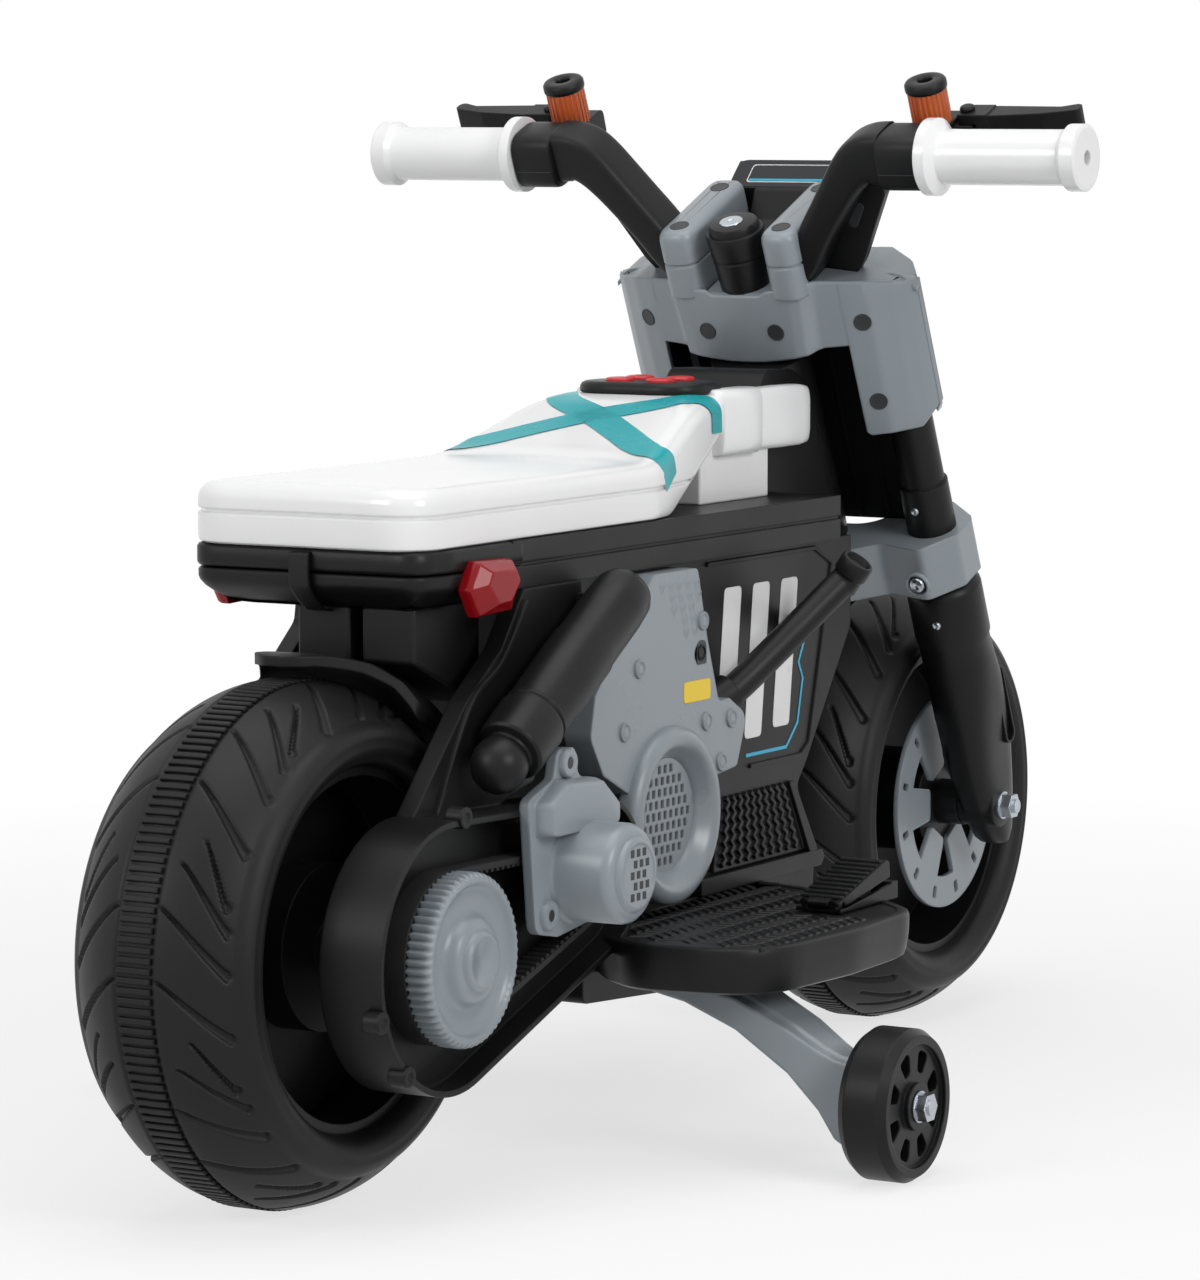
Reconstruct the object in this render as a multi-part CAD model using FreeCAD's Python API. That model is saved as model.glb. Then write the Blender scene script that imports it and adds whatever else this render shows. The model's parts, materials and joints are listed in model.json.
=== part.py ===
import FreeCAD, Part
import math
import os

# Battery powered motorbike for a small child: two hollow plastic wheels, two training wheels,
# a clam-shell body under a moulded seat, and a raked fork that turns in the neck.
# Millimetres. +X is forward, +Y is the rider's left, +Z is up; the ground is z = 0.

Vec = FreeCAD.Vector

# Wheels and stance
wheelbase = 627.0
wheel_radius = 129.0
tyre_half_width = 51.0
tyre_wall = 5.0
lip_radius = wheel_radius - 40.0
lip_half_width = 40.0
rim_wall = 5.0
axle_radius = 4.0
running_fit = 0.05
seat_gap = 0.3
nut_across_flats = 13.0
nut_height = 6.5
washer_radius = 8.0
washer_height = 1.6

# Rear drive side
rear_hub_radius = 41.0
rear_hub_half_width = 25.0
case_depth = 34.0
case_floor_depth = 20.0
case_wall = 3.0
arm_thickness = 10.0
case_end_radius = 66.0
case_front_radius = 40.0
sprocket_x = -172.0
sprocket_z = wheel_radius + 21.0
sprocket_radius = 16.0
pulley_radius = 42.0
pulley_proud = 10.7
pulley_teeth = 60
belt_thickness = 3.0
belt_width = 12.0
motor_x = -208.0
motor_z = wheel_radius + 30.0
motor_radius = 18.0
motor_shaft_radius = 4.0
motor_cover_radius = 24.5
motor_cover_end_radius = 21.0
motor_cover_proud = 41.7

# Body, seat and tray
body_half_width = 62.0
beam_half_width = body_half_width + 8.0
body_wall = 3.0
beam_bottom_z = 296.0
beam_top_z = 320.0
beam_rear_x = -215.0
beam_front_x = 134.0
body_bottom_z = 105.0
panel_outer_y = body_half_width + 16.0
panel_wall = 2.5
speaker_x = -71.0
speaker_z = 168.0
speaker_ring_radius = 43.0
speaker_radius = 29.0
jack_x = -40.0
jack_z = 249.0
jack_radius = 5.0
seat_rear_x = -300.0
seat_front_x = 78.0
seat_lift_x = -45.0
seat_shoulder_x = 46.0
seat_shoulder_y = 45.0
seat_front_y = 42.0
seat_front_low_z = 358.0
seat_half_width = 69.0
seat_seam_z = 336.0
seat_top_z = 351.0
seat_hump_z = 379.0
pad_x = 46.0
pad_half_length = 26.0
pad_half_width = 38.0
pad_height = 6.0
button_spread_x = 11.0
button_spread_y = 12.5
button_radius = 8.0
button_rise = 3.0
tray_bottom_z = 290.0

# Footboards, pedal and training wheels
footboard_top_z = 118.0
footboard_bottom_z = 94.0
footboard_outer_y = 188.0
pedal_hinge_x = -31.0
pedal_hinge_z = 122.0
pedal_pin_radius = 1.5
pedal_inner_y = 132.0
pedal_outer_y = 158.0
pedal_wall = 2.0
pedal_ear_width = 3.5
training_x = -113.0
training_stagger = 28.0
training_radius = 38.5
training_inner_y = 216.0
training_outer_y = 243.0

# Steering: measured along (u), across (y) and up (v) the raked fork, from the front axle
rake = 24.0
fork_y = 73.5
fork_tube_radius = 12.5
fork_sleeve_radius = 14.0
fork_leg_radius = 20.0
fork_leg_inner_y = 60.0
fork_leg_outer_y = 83.0
steering_offset = 22.0
column_radius = 10.0
head_radius = 28.0
head_low_v = 184.0
head_high_v = 300.0
stem_radius = 15.0
clamp_low_v = 150.0
clamp_high_v = 182.0
shroud_low_v = 252.0
shroud_arch_v = 307.0
shroud_top_v = 343.0
shroud_half_width = fork_y + 18.5
shroud_wall = 3.0
screw_recess_radius = 4.3
disc_y = 44.0
disc_thickness = 3.0
disc_radius = 62.0
bar_u = -17.0
bar_v = 418.8
bar_radius = 10.0
grip_radius = 15.0
grip_inner_y = 126.0
grip_outer_y = 219.0
grip_flange_radius = 21.0
lever_u = 26.0
lever_y = 131.0
lever_pin_radius = 2.5
lever_reach_y = 196.0
blinker_u = 17.0
blinker_y = 113.4
blinker_radius = 11.0
lens_low_v = 424.0
lens_height = 19.0
lens_cap_height = 6.0

front_x = wheelbase / 2
rear_x = -wheelbase / 2
case_inner_y = body_half_width + seat_gap
case_outer_y = case_inner_y + case_depth
case_floor_y = case_inner_y + case_floor_depth
pulley_face_y = case_outer_y + pulley_proud
motor_cover_end_y = case_outer_y + motor_cover_proud


def outline(points, place):
    """Closed face through (a, b) or (a, b, corner radius) points, mapped to space by place(a, b)."""
    starts = []
    middles = []
    ends = []
    count = len(points)
    for i in range(count):
        here = points[i]
        before = points[i - 1]
        after = points[(i + 1) % count]
        radius = here[2] if len(here) == 3 else 0.0
        if radius == 0.0:
            starts.append(here[:2])
            middles.append(None)
            ends.append(here[:2])
            continue
        back = (before[0] - here[0], before[1] - here[1])
        ahead = (after[0] - here[0], after[1] - here[1])
        back_len = math.hypot(*back)
        ahead_len = math.hypot(*ahead)
        back = (back[0] / back_len, back[1] / back_len)
        ahead = (ahead[0] / ahead_len, ahead[1] / ahead_len)
        half = math.acos(back[0] * ahead[0] + back[1] * ahead[1]) / 2
        run = radius / math.tan(half)
        middle = (back[0] + ahead[0], back[1] + ahead[1])
        middle_len = math.hypot(*middle)
        reach = (radius / math.sin(half) - radius) / middle_len
        starts.append((here[0] + back[0] * run, here[1] + back[1] * run))
        middles.append((here[0] + middle[0] * reach, here[1] + middle[1] * reach))
        ends.append((here[0] + ahead[0] * run, here[1] + ahead[1] * run))
    edges = []
    for i in range(count):
        if middles[i] is not None:
            arc = Part.Arc(place(*starts[i]), place(*middles[i]), place(*ends[i]))
            edges.append(arc.toShape())
        tip = starts[(i + 1) % count]
        if math.dist(ends[i], tip) > 1e-6:
            edges.append(Part.makeLine(place(*ends[i]), place(*tip)))
    return Part.Face(Part.Wire(edges))


def plate_x(points, x0, x1):
    """Prism along X from a (y, z) outline."""
    return outline(points, lambda y, z: Vec(x0, y, z)).extrude(Vec(x1 - x0, 0, 0))


def plate_y(points, y0, y1):
    """Prism along Y from an (x, z) outline."""
    return outline(points, lambda x, z: Vec(x, y0, z)).extrude(Vec(0, y1 - y0, 0))


def plate_z(points, z0, z1):
    """Prism along Z from an (x, y) outline."""
    return outline(points, lambda x, y: Vec(x, y, z0)).extrude(Vec(0, 0, z1 - z0))


def box(x0, x1, y0, y1, z0, z1):
    return Part.makeBox(x1 - x0, y1 - y0, z1 - z0, Vec(x0, y0, z0))


def rod(start, end, radius):
    run = end - start
    return Part.makeCylinder(radius, run.Length, start, run)


def rod_y(x, z, radius, y0, y1):
    return rod(Vec(x, y0, z), Vec(x, y1, z), radius)


def rod_z(x, y, radius, z0, z1):
    return rod(Vec(x, y, z0), Vec(x, y, z1), radius)


def turned_y(x, z, profile):
    """Ring turned about the Y line through (x, z) from (radius, y) points."""
    corners = [Vec(x + r, y, z) for r, y in profile]
    face = Part.Face(Part.makePolygon(corners + corners[:1]))
    return face.revolve(Vec(x, 0, z), Vec(0, 1, 0), 360)


def mirrored(shape):
    return shape.mirror(Vec(0, 0, 0), Vec(0, 1, 0))


def raked(shape):
    """Move a shape from fork coordinates (u, y, v) to the bike."""
    turned = shape.copy()
    turned.rotate(Vec(0, 0, 0), Vec(0, 1, 0), -rake)
    turned.translate(Vec(front_x, 0, wheel_radius))
    return turned


def group(*shapes):
    return Part.makeCompound(list(shapes))


def hexagon_y(x, z, across, y0, y1):
    reach = across / math.sqrt(3)
    corners = [(x + reach * math.cos(math.radians(60 * k)), z + reach * math.sin(math.radians(60 * k)))
               for k in range(6)]
    return plate_y(corners, y0, y1)


def save(name, shape):
    shape.exportStep("parts/" + name + ".step")


def pair(right):
    """A right-hand piece and its mirror image on the left."""
    return group(right, mirrored(right))


os.makedirs("parts", exist_ok=True)

# Tyre section: two arcs a side, from the rim lip over the sidewall to the crown


def tyre(x):
    def skin(inset):
        def at(y, r):
            return Vec(x + r, y, wheel_radius)
        lip = (lip_half_width - inset, lip_radius)
        bulge = (tyre_half_width - inset, lip_radius + 10)
        shoulder = (tyre_half_width - 7 - inset * 0.85, wheel_radius - 19 - inset * 0.5)
        flank = (tyre_half_width / 2 - inset * 0.4, wheel_radius - 5.5 - inset * 0.9)
        crown = wheel_radius - inset
        edges = [
                 Part.Arc(at(-lip[0], lip[1]), at(-bulge[0], bulge[1]),
                          at(-shoulder[0], shoulder[1])).toShape(),
                 Part.Arc(at(-shoulder[0], shoulder[1]), at(-flank[0], flank[1]), at(0, crown)).toShape(),
                 Part.Arc(at(0, crown), at(flank[0], flank[1]), at(shoulder[0], shoulder[1])).toShape(),
                 Part.Arc(at(shoulder[0], shoulder[1]), at(bulge[0], bulge[1]),
                          at(lip[0], lip[1])).toShape(),
                 Part.makeLine(at(lip[0], lip[1]), at(-lip[0], lip[1])),
                 ]
        face = Part.Face(Part.Wire(edges))
        return face.revolve(Vec(x, 0, wheel_radius), Vec(0, 1, 0), 360)
    ring = skin(0.0).cut(skin(tyre_wall))
    band = wheel_radius - 1.5
    for side in (-1, 1):
        groove = [(band, side * 10.3 - 1), (wheel_radius + 2, side * 10.3 - 1),
                  (wheel_radius + 2, side * 10.3 + 1), (band, side * 10.3 + 1)]
        ring = ring.cut(turned_y(x, wheel_radius, groove))
    return ring


def rim(x, hub_radius, hub_half_width, boss_half_width):
    """Plastic rim: barrel under the tyre, central web, hub drum and narrow bosses on the axle."""
    bore = axle_radius + running_fit
    inner = lip_radius - rim_wall
    web = 5.0
    boss = 13.0
    profile = [
               (bore, -boss_half_width), (boss, -boss_half_width), (boss, -hub_half_width),
               (hub_radius, -hub_half_width), (hub_radius, -web), (inner, -web), (inner, -lip_half_width),
               (lip_radius, -lip_half_width), (lip_radius, lip_half_width), (inner, lip_half_width),
               (inner, web),
               (hub_radius, web), (hub_radius, hub_half_width), (boss, hub_half_width),
               (boss, boss_half_width),
               (bore, boss_half_width),
               ]
    return turned_y(x, wheel_radius, profile)


save("rear_tyre", tyre(rear_x))
save("front_tyre", tyre(front_x))
save("rear_hub", rim(rear_x, rear_hub_radius, rear_hub_half_width, case_inner_y - seat_gap))
front_hub_half_width = disc_y
save("front_hub", rim(front_x, 30.0, front_hub_half_width, fork_leg_inner_y - seat_gap))

# Brake disc: slotted ring with inward lobes that sit on the hub drum


def brake_disc():
    def ring(outer, inner):
        return turned_y(front_x, wheel_radius, [(inner, disc_y), (outer, disc_y),
                                                (outer, disc_y + disc_thickness),
                                                (inner, disc_y + disc_thickness)])
    disc = ring(disc_radius, 44.0)
    for k in range(6):
        lobe = plate_y([(front_x + 20, wheel_radius - 9, 3), (front_x + 47, wheel_radius - 13),
                        (front_x + 47, wheel_radius + 13), (front_x + 20, wheel_radius + 9, 3)],
                       disc_y, disc_y + disc_thickness)
        lobe.rotate(Vec(front_x, 0, wheel_radius), Vec(0, 1, 0), 60 * k)
        disc = disc.fuse(lobe)
    for k in range(12):
        slot = plate_y([(front_x + 50, wheel_radius - 2.2, 1.5), (front_x + 57, wheel_radius - 2.2, 1.5),
                        (front_x + 57, wheel_radius + 2.2, 1.5), (front_x + 50, wheel_radius + 2.2, 1.5)],
                       disc_y - 1, disc_y + disc_thickness + 1)
        slot.rotate(Vec(front_x, 0, wheel_radius), Vec(0, 1, 0), 30 * k + 15)
        disc = disc.cut(slot)
    return disc.removeSplitter()


save("front_discs", pair(mirrored(brake_disc())))


def axle_nut(x, seat_y):
    """Washer and lock nut on the left end of an axle, and how far the end reaches."""
    bore = axle_radius + running_fit
    nut_y = seat_y + washer_height
    washer = turned_y(x, wheel_radius, [(bore, seat_y), (washer_radius, seat_y), (washer_radius, nut_y),
                                        (bore, nut_y)])
    nut = hexagon_y(x, wheel_radius, nut_across_flats, nut_y, nut_y + nut_height)
    nut = nut.cut(rod_y(x, wheel_radius, bore, nut_y - 1, nut_y + nut_height + 1))
    return washer, nut, nut_y + nut_height + 2


def axle_set(x, right_seat_y, left_seat_y):
    """Plain axle with a washer and a lock nut at each end."""
    right_washer, right_nut, right_reach = axle_nut(x, right_seat_y)
    left_washer, left_nut, left_reach = axle_nut(x, left_seat_y)
    shaft = rod_y(x, wheel_radius, axle_radius, -right_reach, left_reach)
    return group(shaft, left_washer, left_nut, mirrored(right_washer), mirrored(right_nut))


save("front_axle", axle_set(front_x, fork_leg_outer_y, fork_leg_outer_y))
save("rear_axle", axle_set(rear_x, case_floor_y, case_inner_y + arm_thickness))

# Swing arms: the right one carries the belt case, a cup open to the wheel whose outer face is sunk
# round the pulley and belt; the left one is a plain arm


def case_outline(inset):
    """Two end circles joined by their outer tangents, as an (x, z) face on y = 0."""
    big = case_end_radius - inset
    small = case_front_radius - inset
    run_x = sprocket_x - rear_x
    run_z = sprocket_z - wheel_radius
    length = math.hypot(run_x, run_z)
    tilt = math.atan2(run_z, run_x)
    swing = math.acos((big - small) / length)
    points = []
    for centre_x, centre_z, radius in ((rear_x, wheel_radius, big), (sprocket_x, sprocket_z, small)):
        for side in (1, -1):
            angle = tilt + side * swing
            points.append(Vec(centre_x + radius * math.cos(angle), 0, centre_z + radius * math.sin(angle)))
    rear_tip = Vec(rear_x - big * math.cos(tilt), 0, wheel_radius - big * math.sin(tilt))
    front_tip = Vec(sprocket_x + small * math.cos(tilt), 0, sprocket_z + small * math.sin(tilt))
    edges = [Part.Arc(points[0], rear_tip, points[1]).toShape(), Part.makeLine(points[1], points[3]),
             Part.Arc(points[3], front_tip, points[2]).toShape(), Part.makeLine(points[2], points[0])]
    return Part.Face(Part.Wire(edges))


def case_slab(inset, y0, y1):
    face = case_outline(inset)
    face.translate(Vec(0, y0, 0))
    return face.extrude(Vec(0, y1 - y0, 0))


arm_outline = [(-330, 176, 6), (-300, 176), (-200, 200), (-152, 262, 8), (-152, beam_bottom_z),
               (-208, beam_bottom_z), (-230, 268, 10), (-262, 246, 12)]
left_arm_outline = [(rear_x - 9, wheel_radius + 28), (rear_x + 12, wheel_radius - 27), (-200, 196),
                    (-152, 262, 8),
                    (-152, beam_bottom_z), (-190, beam_bottom_z), (-194, 272, 8), (-226, 246, 10)]
left_arm_end_radius = 30.0
right_case = case_slab(0.0, -case_outer_y, -case_inner_y)
right_case = right_case.cut(case_slab(case_wall, -case_floor_y + case_wall, -case_inner_y + 1))
right_case = right_case.cut(case_slab(case_wall, -case_outer_y - 1, -case_floor_y))
right_arm = plate_y(arm_outline, -case_inner_y - arm_thickness, -case_inner_y)
right_arm = right_arm.cut(case_slab(case_wall, -case_outer_y, -case_inner_y + 1))
right_case = right_case.fuse(right_arm)
right_case = right_case.cut(rod_y(motor_x, motor_z, motor_shaft_radius + seat_gap, -case_outer_y,
                                  -case_inner_y))
sprocket_boss = rod_y(sprocket_x, sprocket_z, sprocket_radius - running_fit, -case_floor_y - belt_width,
                      -case_floor_y)
right_case = right_case.fuse(sprocket_boss)
left_arm = plate_y(left_arm_outline, case_inner_y, case_inner_y + arm_thickness)
left_arm = left_arm.fuse(rod_y(rear_x, wheel_radius, left_arm_end_radius, case_inner_y,
                               case_inner_y + arm_thickness))
axle_hole = rod_y(rear_x, wheel_radius, axle_radius + running_fit, -case_outer_y, case_outer_y)
save("swing_arms", group(right_case.cut(axle_hole).removeSplitter(),
                         left_arm.cut(axle_hole).removeSplitter()))

# Drive: gearbox in the right case, motor on it, belt and toothed pulley on the sunk outer face
gearbox_y = case_floor_y - case_wall
gearbox = rod_y(rear_x, wheel_radius, 50.0, -gearbox_y, -case_inner_y - 2)
gearbox = gearbox.fuse(rod_y(motor_x, motor_z, 27.0, -gearbox_y, -case_inner_y - 2))
gearbox = gearbox.fuse(plate_y([(rear_x, wheel_radius - 44), (motor_x, motor_z - 26),
                                (motor_x, motor_z + 25),
                                (rear_x, wheel_radius + 46)], -gearbox_y, -case_inner_y - 2))
gearbox = gearbox.cut(rod_y(rear_x, wheel_radius, axle_radius + running_fit, -case_outer_y, 0))
save("gearbox", gearbox.removeSplitter())
motor_front_y = case_outer_y + seat_gap
motor = rod_y(motor_x, motor_z, motor_radius, -motor_front_y - 32, -motor_front_y)
motor = motor.fuse(rod_y(motor_x, motor_z, motor_shaft_radius, -motor_front_y, -gearbox_y))
save("drive_motor", motor.removeSplitter())


def pulley():
    pitch = 360.0 / pulley_teeth
    corners = []
    for k in range(pulley_teeth):
        for turn, radius in ((0.0, pulley_radius - 2), (0.22, pulley_radius), (0.5, pulley_radius),
                             (0.72, pulley_radius - 2)):
            angle = math.radians((k + turn) * pitch)
            corners.append((rear_x + radius * math.cos(angle), wheel_radius + radius * math.sin(angle)))
    wheel = plate_y(corners, -pulley_face_y, -pulley_face_y + 12)
    wheel = wheel.fuse(rod_y(rear_x, wheel_radius, pulley_radius - 3, -pulley_face_y + 12, -case_floor_y))
    wheel = wheel.cut(rod_y(rear_x, wheel_radius, 34.0, -pulley_face_y - 1, -pulley_face_y + 3))
    wheel = wheel.cut(rod_y(rear_x, wheel_radius, 32.0, -pulley_face_y + 6, -case_floor_y + 1))
    wheel = wheel.fuse(rod_y(rear_x, wheel_radius, 22.0, -pulley_face_y - 1, -pulley_face_y + 4))
    wheel = wheel.fuse(rod_y(rear_x, wheel_radius, 14.0, -pulley_face_y - 5.5, -pulley_face_y))
    return wheel.removeSplitter()


save("pulley", pulley())
belt_inner = pulley_radius - 3.0 + running_fit


def belt_slab(grow, y0, y1):
    big = belt_inner + grow
    small = sprocket_radius + grow
    run_x = sprocket_x - rear_x
    run_z = sprocket_z - wheel_radius
    tilt = math.atan2(run_z, run_x)
    swing = math.acos((big - small) / math.hypot(run_x, run_z))
    corners = []
    for centre_x, centre_z, radius in ((rear_x, wheel_radius, big), (sprocket_x, sprocket_z, small)):
        for side in (1, -1):
            angle = tilt + side * swing
            corners.append((centre_x + radius * math.cos(angle), centre_z + radius * math.sin(angle)))
    middle = plate_y([corners[0], corners[1], corners[3], corners[2]], y0, y1)
    middle = middle.fuse(rod_y(rear_x, wheel_radius, big, y0, y1))
    return middle.fuse(rod_y(sprocket_x, sprocket_z, small, y0, y1)).removeSplitter()


belt_outer_y = case_floor_y + belt_width
belt = belt_slab(belt_thickness, -belt_outer_y, -case_floor_y).cut(
                                                                   belt_slab(0.0, -belt_outer_y - 1,
                                                                             -case_floor_y + 1))
save("belt", belt)

# Motor cover: lugged plate on the case rim, drum with a holed end
cover_plate = [(-254, 198, 4), (-247, 132, 4), (-226, 128, 6), (-174, 134, 8), (-166, 190, 6), (-206, 206),
               (-209, 220, 5), (-226, 220, 5), (-230, 206)]
cover_face_y = case_outer_y + 5.0
cover = plate_y(cover_plate, -cover_face_y, -case_outer_y)
cover = cover.fuse(plate_y([(-246, 176, 3), (-170, 172, 3), (-174, 188, 4), (-206, 204, 4), (-246, 196, 4)],
                           -cover_face_y - 14, -case_outer_y))
cover = cover.fuse(rod_y(motor_x, motor_z, motor_cover_radius, -motor_cover_end_y + 8, -case_outer_y))
cover = cover.fuse(rod_y(motor_x, motor_z, motor_cover_end_radius, -motor_cover_end_y, -case_outer_y))
cover = cover.cut(rod_y(motor_x, motor_z, motor_radius + 1, -motor_cover_end_y + 4, -case_outer_y + 1))
for hole_row, hole_count in ((-1, 3), (0, 4), (1, 3)):
    for k in range(hole_count):
        hole_x = motor_x + (k - (hole_count - 1) / 2) * 8
        hole_z = motor_z + hole_row * 9
        cover = cover.cut(box(hole_x - 2.4, hole_x + 2.4, -motor_cover_end_y - 1, -motor_cover_end_y + 5,
                              hole_z - 3, hole_z + 3))
for hole_x, hole_z in ((-236, 140), (-218, 213), (-182, 182)):
    cover = cover.cut(rod_y(hole_x, hole_z, 2.6, -cover_face_y - 20, -case_outer_y + 1))
save("motor_cover", cover.removeSplitter())

# Clam-shell body: two halves that meet on the centre plane
body_outline = [(-150, beam_bottom_z), (-150, 250, 12), (-166, 214, 12), (-140, 160, 12),
                (-130, body_bottom_z, 6),
                (118, body_bottom_z, 4), (120, 123, 4), (99, 164, 6), (110, 176, 8), (162, 246, 10),
                (162, beam_bottom_z)]
body_inner = [(-146, beam_bottom_z), (-146, 252, 10), (-161, 214, 8), (-136, 160, 10),
              (-127, body_bottom_z + 3, 4),
              (114, body_bottom_z + 3, 3), (116, 122, 3), (95, 164, 5), (106, 177, 7), (158, 247, 8),
              (158, beam_bottom_z)]
body = plate_y(body_outline, 0, body_half_width)
body = body.fuse(box(beam_rear_x, beam_front_x, 0, beam_half_width, beam_bottom_z, beam_top_z))
body = body.fuse(box(beam_front_x, 162, 0, 34, beam_bottom_z, beam_bottom_z + body_wall))
body = body.cut(plate_y(body_inner, -1, body_half_width - body_wall))
body = body.cut(box(beam_rear_x + body_wall, beam_front_x - body_wall, -1, beam_half_width - body_wall,
                    beam_bottom_z + body_wall, beam_top_z - body_wall))
body = body.cut(box(-146, beam_front_x - body_wall, -1, body_half_width - body_wall,
                    beam_bottom_z - 1, beam_top_z - body_wall))
groove_z = beam_bottom_z + 12
body = body.cut(box(beam_rear_x - 1, beam_front_x + 1, beam_half_width - 1.5, beam_half_width + 1,
                    groove_z - 1, groove_z + 1))
body = body.removeSplitter()
save("body_left", body)
save("body_right", mirrored(body))
battery_top_z = body_bottom_z + body_wall + 72
save("battery", box(-70, 60, -48, 48, body_bottom_z + body_wall, battery_top_z))
board_y = body_half_width - body_wall
board = box(-60, 40, -board_y, -board_y + 1.6, 215, 285)
for chip_x, chip_z, chip_w, chip_h in ((-40, 230, 20, 20), (0, 235, 14, 26), (-30, 262, 36, 12)):
    board = board.fuse(box(chip_x, chip_x + chip_w, -board_y + 1.6, -board_y + 9, chip_z, chip_z + chip_h))
save("control_board", board.removeSplitter())
belly = plate_y([(-147, 80, 4), (-60, 74, 4), (70, 74, 4), (110, 90, 6), (112, body_bottom_z),
                 (-147, body_bottom_z)], -body_half_width - 8, body_half_width + 8)
belly = belly.cut(box(-140, 100, -body_half_width - 3, body_half_width + 3, 84, body_bottom_z - 4))
save("belly_pan", belly)

# Grey side panel with speaker ring and charging socket, hollow behind
ring_points = [(speaker_x + speaker_ring_radius * math.cos(math.radians(a)),
                speaker_z + speaker_ring_radius * math.sin(math.radians(a))) for a in range(20, -201, -20)]
panel_outline = [(-88, 294, 4), (-42, 294, 4), (-31, 255, 6), (-19, 222, 4), (-8, 223, 3), (12, 212, 8),
                 (1, 186, 4)] + ring_points + [(-140, 196, 6), (-153, 216, 8), (-148, 238, 8),
                                               (-122, 262, 8)]
panel = plate_y(panel_outline, -panel_outer_y, -body_half_width)
panel = panel.cut(rod_y(speaker_x, speaker_z, speaker_ring_radius - 3, -panel_outer_y + panel_wall + 3,
                        -body_half_width + 1))
panel = panel.cut(rod_y(speaker_x, speaker_z, speaker_ring_radius - 7, -panel_outer_y - 1,
                        -panel_outer_y + 3))
panel = panel.cut(plate_y([(-82, 286, 3), (-50, 286, 3), (-39, 252, 5), (-27, 214, 4), (-22, 205, 3),
                           (-90, 216, 6), (-142, 216, 8), (-138, 236, 8), (-114, 258, 8)],
                          -panel_outer_y + panel_wall, -body_half_width + 1))
grille_pitch = 6.0
for row in range(-4, 5):
    for column in range(-4, 5):
        hole_x = speaker_x + (column + 0.5 * (row % 2)) * grille_pitch
        hole_z = speaker_z + row * grille_pitch
        if math.hypot(hole_x - speaker_x, hole_z - speaker_z) < speaker_radius - 4:
            panel = panel.cut(box(hole_x - 1.6, hole_x + 1.6, -panel_outer_y, -panel_outer_y + 8,
                                  hole_z - 2, hole_z + 2))
left_panel = mirrored(panel).removeSplitter()
panel = panel.cut(rod_y(jack_x, jack_z, jack_radius + seat_gap, -panel_outer_y - 1, -body_half_width + 1))
save("side_panels", group(panel.removeSplitter(), left_panel))
speaker = turned_y(speaker_x, speaker_z, [(0, -body_half_width), (20, -body_half_width),
                                          (speaker_radius + 5, -body_half_width - 7),
                                          (speaker_radius + 5, -panel_outer_y + panel_wall + 3),
                                          (speaker_radius, -panel_outer_y + panel_wall + 3),
                                          (8, -body_half_width - 5), (0, -body_half_width - 6)])
save("speaker", speaker)
jack = rod_y(jack_x, jack_z, jack_radius, -panel_outer_y + 1, -body_half_width)
jack = jack.cut(rod_y(jack_x, jack_z, 2.8, -panel_outer_y, -panel_outer_y + 11))
jack = jack.fuse(rod_y(jack_x, jack_z, 1.0, -panel_outer_y + 3, -body_half_width - 2))
save("charging_jack", jack.removeSplitter())

# Seat: lower and upper moulding meet on the seam
seat_half_plan = [(seat_rear_x, seat_half_width, 24), (-70, seat_half_width, 50),
                  (seat_shoulder_x, seat_shoulder_y, 30), (seat_front_x, seat_front_y, 8)]
seat_plan = seat_half_plan + [(x, -y, r) for x, y, r in reversed(seat_half_plan)]
seat_plan_solid = plate_z(seat_plan, beam_top_z - 1, seat_hump_z + 20)
seat_side = [(seat_rear_x, beam_top_z, 4), (seat_lift_x, beam_top_z, 10),
             (seat_shoulder_x, seat_front_low_z, 10),
             (seat_front_x, seat_front_low_z), (seat_front_x, seat_hump_z), (14, seat_hump_z, 30),
             (-66, seat_top_z, 60), (seat_rear_x, seat_top_z - 2, 12)]
seat = plate_y(seat_side, -seat_half_width - 1, seat_half_width + 1).common(seat_plan_solid)
seat_section = [(-80, beam_top_z - 1), (-80, seat_top_z + 6), (-46, seat_hump_z - 5, 8),
                (-36, seat_hump_z + 2),
                (36, seat_hump_z + 2), (46, seat_hump_z - 5, 8), (80, seat_top_z + 6), (80, beam_top_z - 1)]
seat = seat.common(plate_x(seat_section, seat_rear_x - 1, seat_front_x + 1))
seat_low = seat.common(box(seat_rear_x - 1, seat_front_x + 1, -90, 90, beam_top_z - 1, seat_seam_z))
seat_high = seat.common(box(seat_rear_x - 1, seat_front_x + 1, -90, 90, seat_seam_z, seat_hump_z + 10))
seat_low = seat_low.cut(plate_z([(seat_rear_x + 8, -seat_half_width + 8, 16),
                                 (-100, -seat_half_width + 8, 30),
                                 (-84, -40), (-84, 40), (-100, seat_half_width - 8, 30),
                                 (seat_rear_x + 8, seat_half_width - 8, 16)],
                                beam_top_z + 4, seat_seam_z + 1))
seat_high = seat_high.cut(plate_z([(seat_rear_x + 8, -seat_half_width + 8, 16),
                                   (-100, -seat_half_width + 8, 30),
                                   (-84, -40), (-84, 40), (-100, seat_half_width - 8, 30),
                                   (seat_rear_x + 8, seat_half_width - 8, 16)],
                                  seat_seam_z - 1, seat_top_z - 7))
pad_well = plate_z([(pad_x - pad_half_length + 3, -pad_half_width + 3, 20),
                    (pad_x + pad_half_length - 3, -pad_half_width + 3, 20),
                    (pad_x + pad_half_length - 3, pad_half_width - 3, 20),
                    (pad_x - pad_half_length + 3, pad_half_width - 3, 20)], seat_hump_z - 14,
                   seat_hump_z + 1)
seat_high = seat_high.cut(pad_well)
save("seat_base", seat_low.removeSplitter())
save("seat_top", seat_high.removeSplitter())
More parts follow.
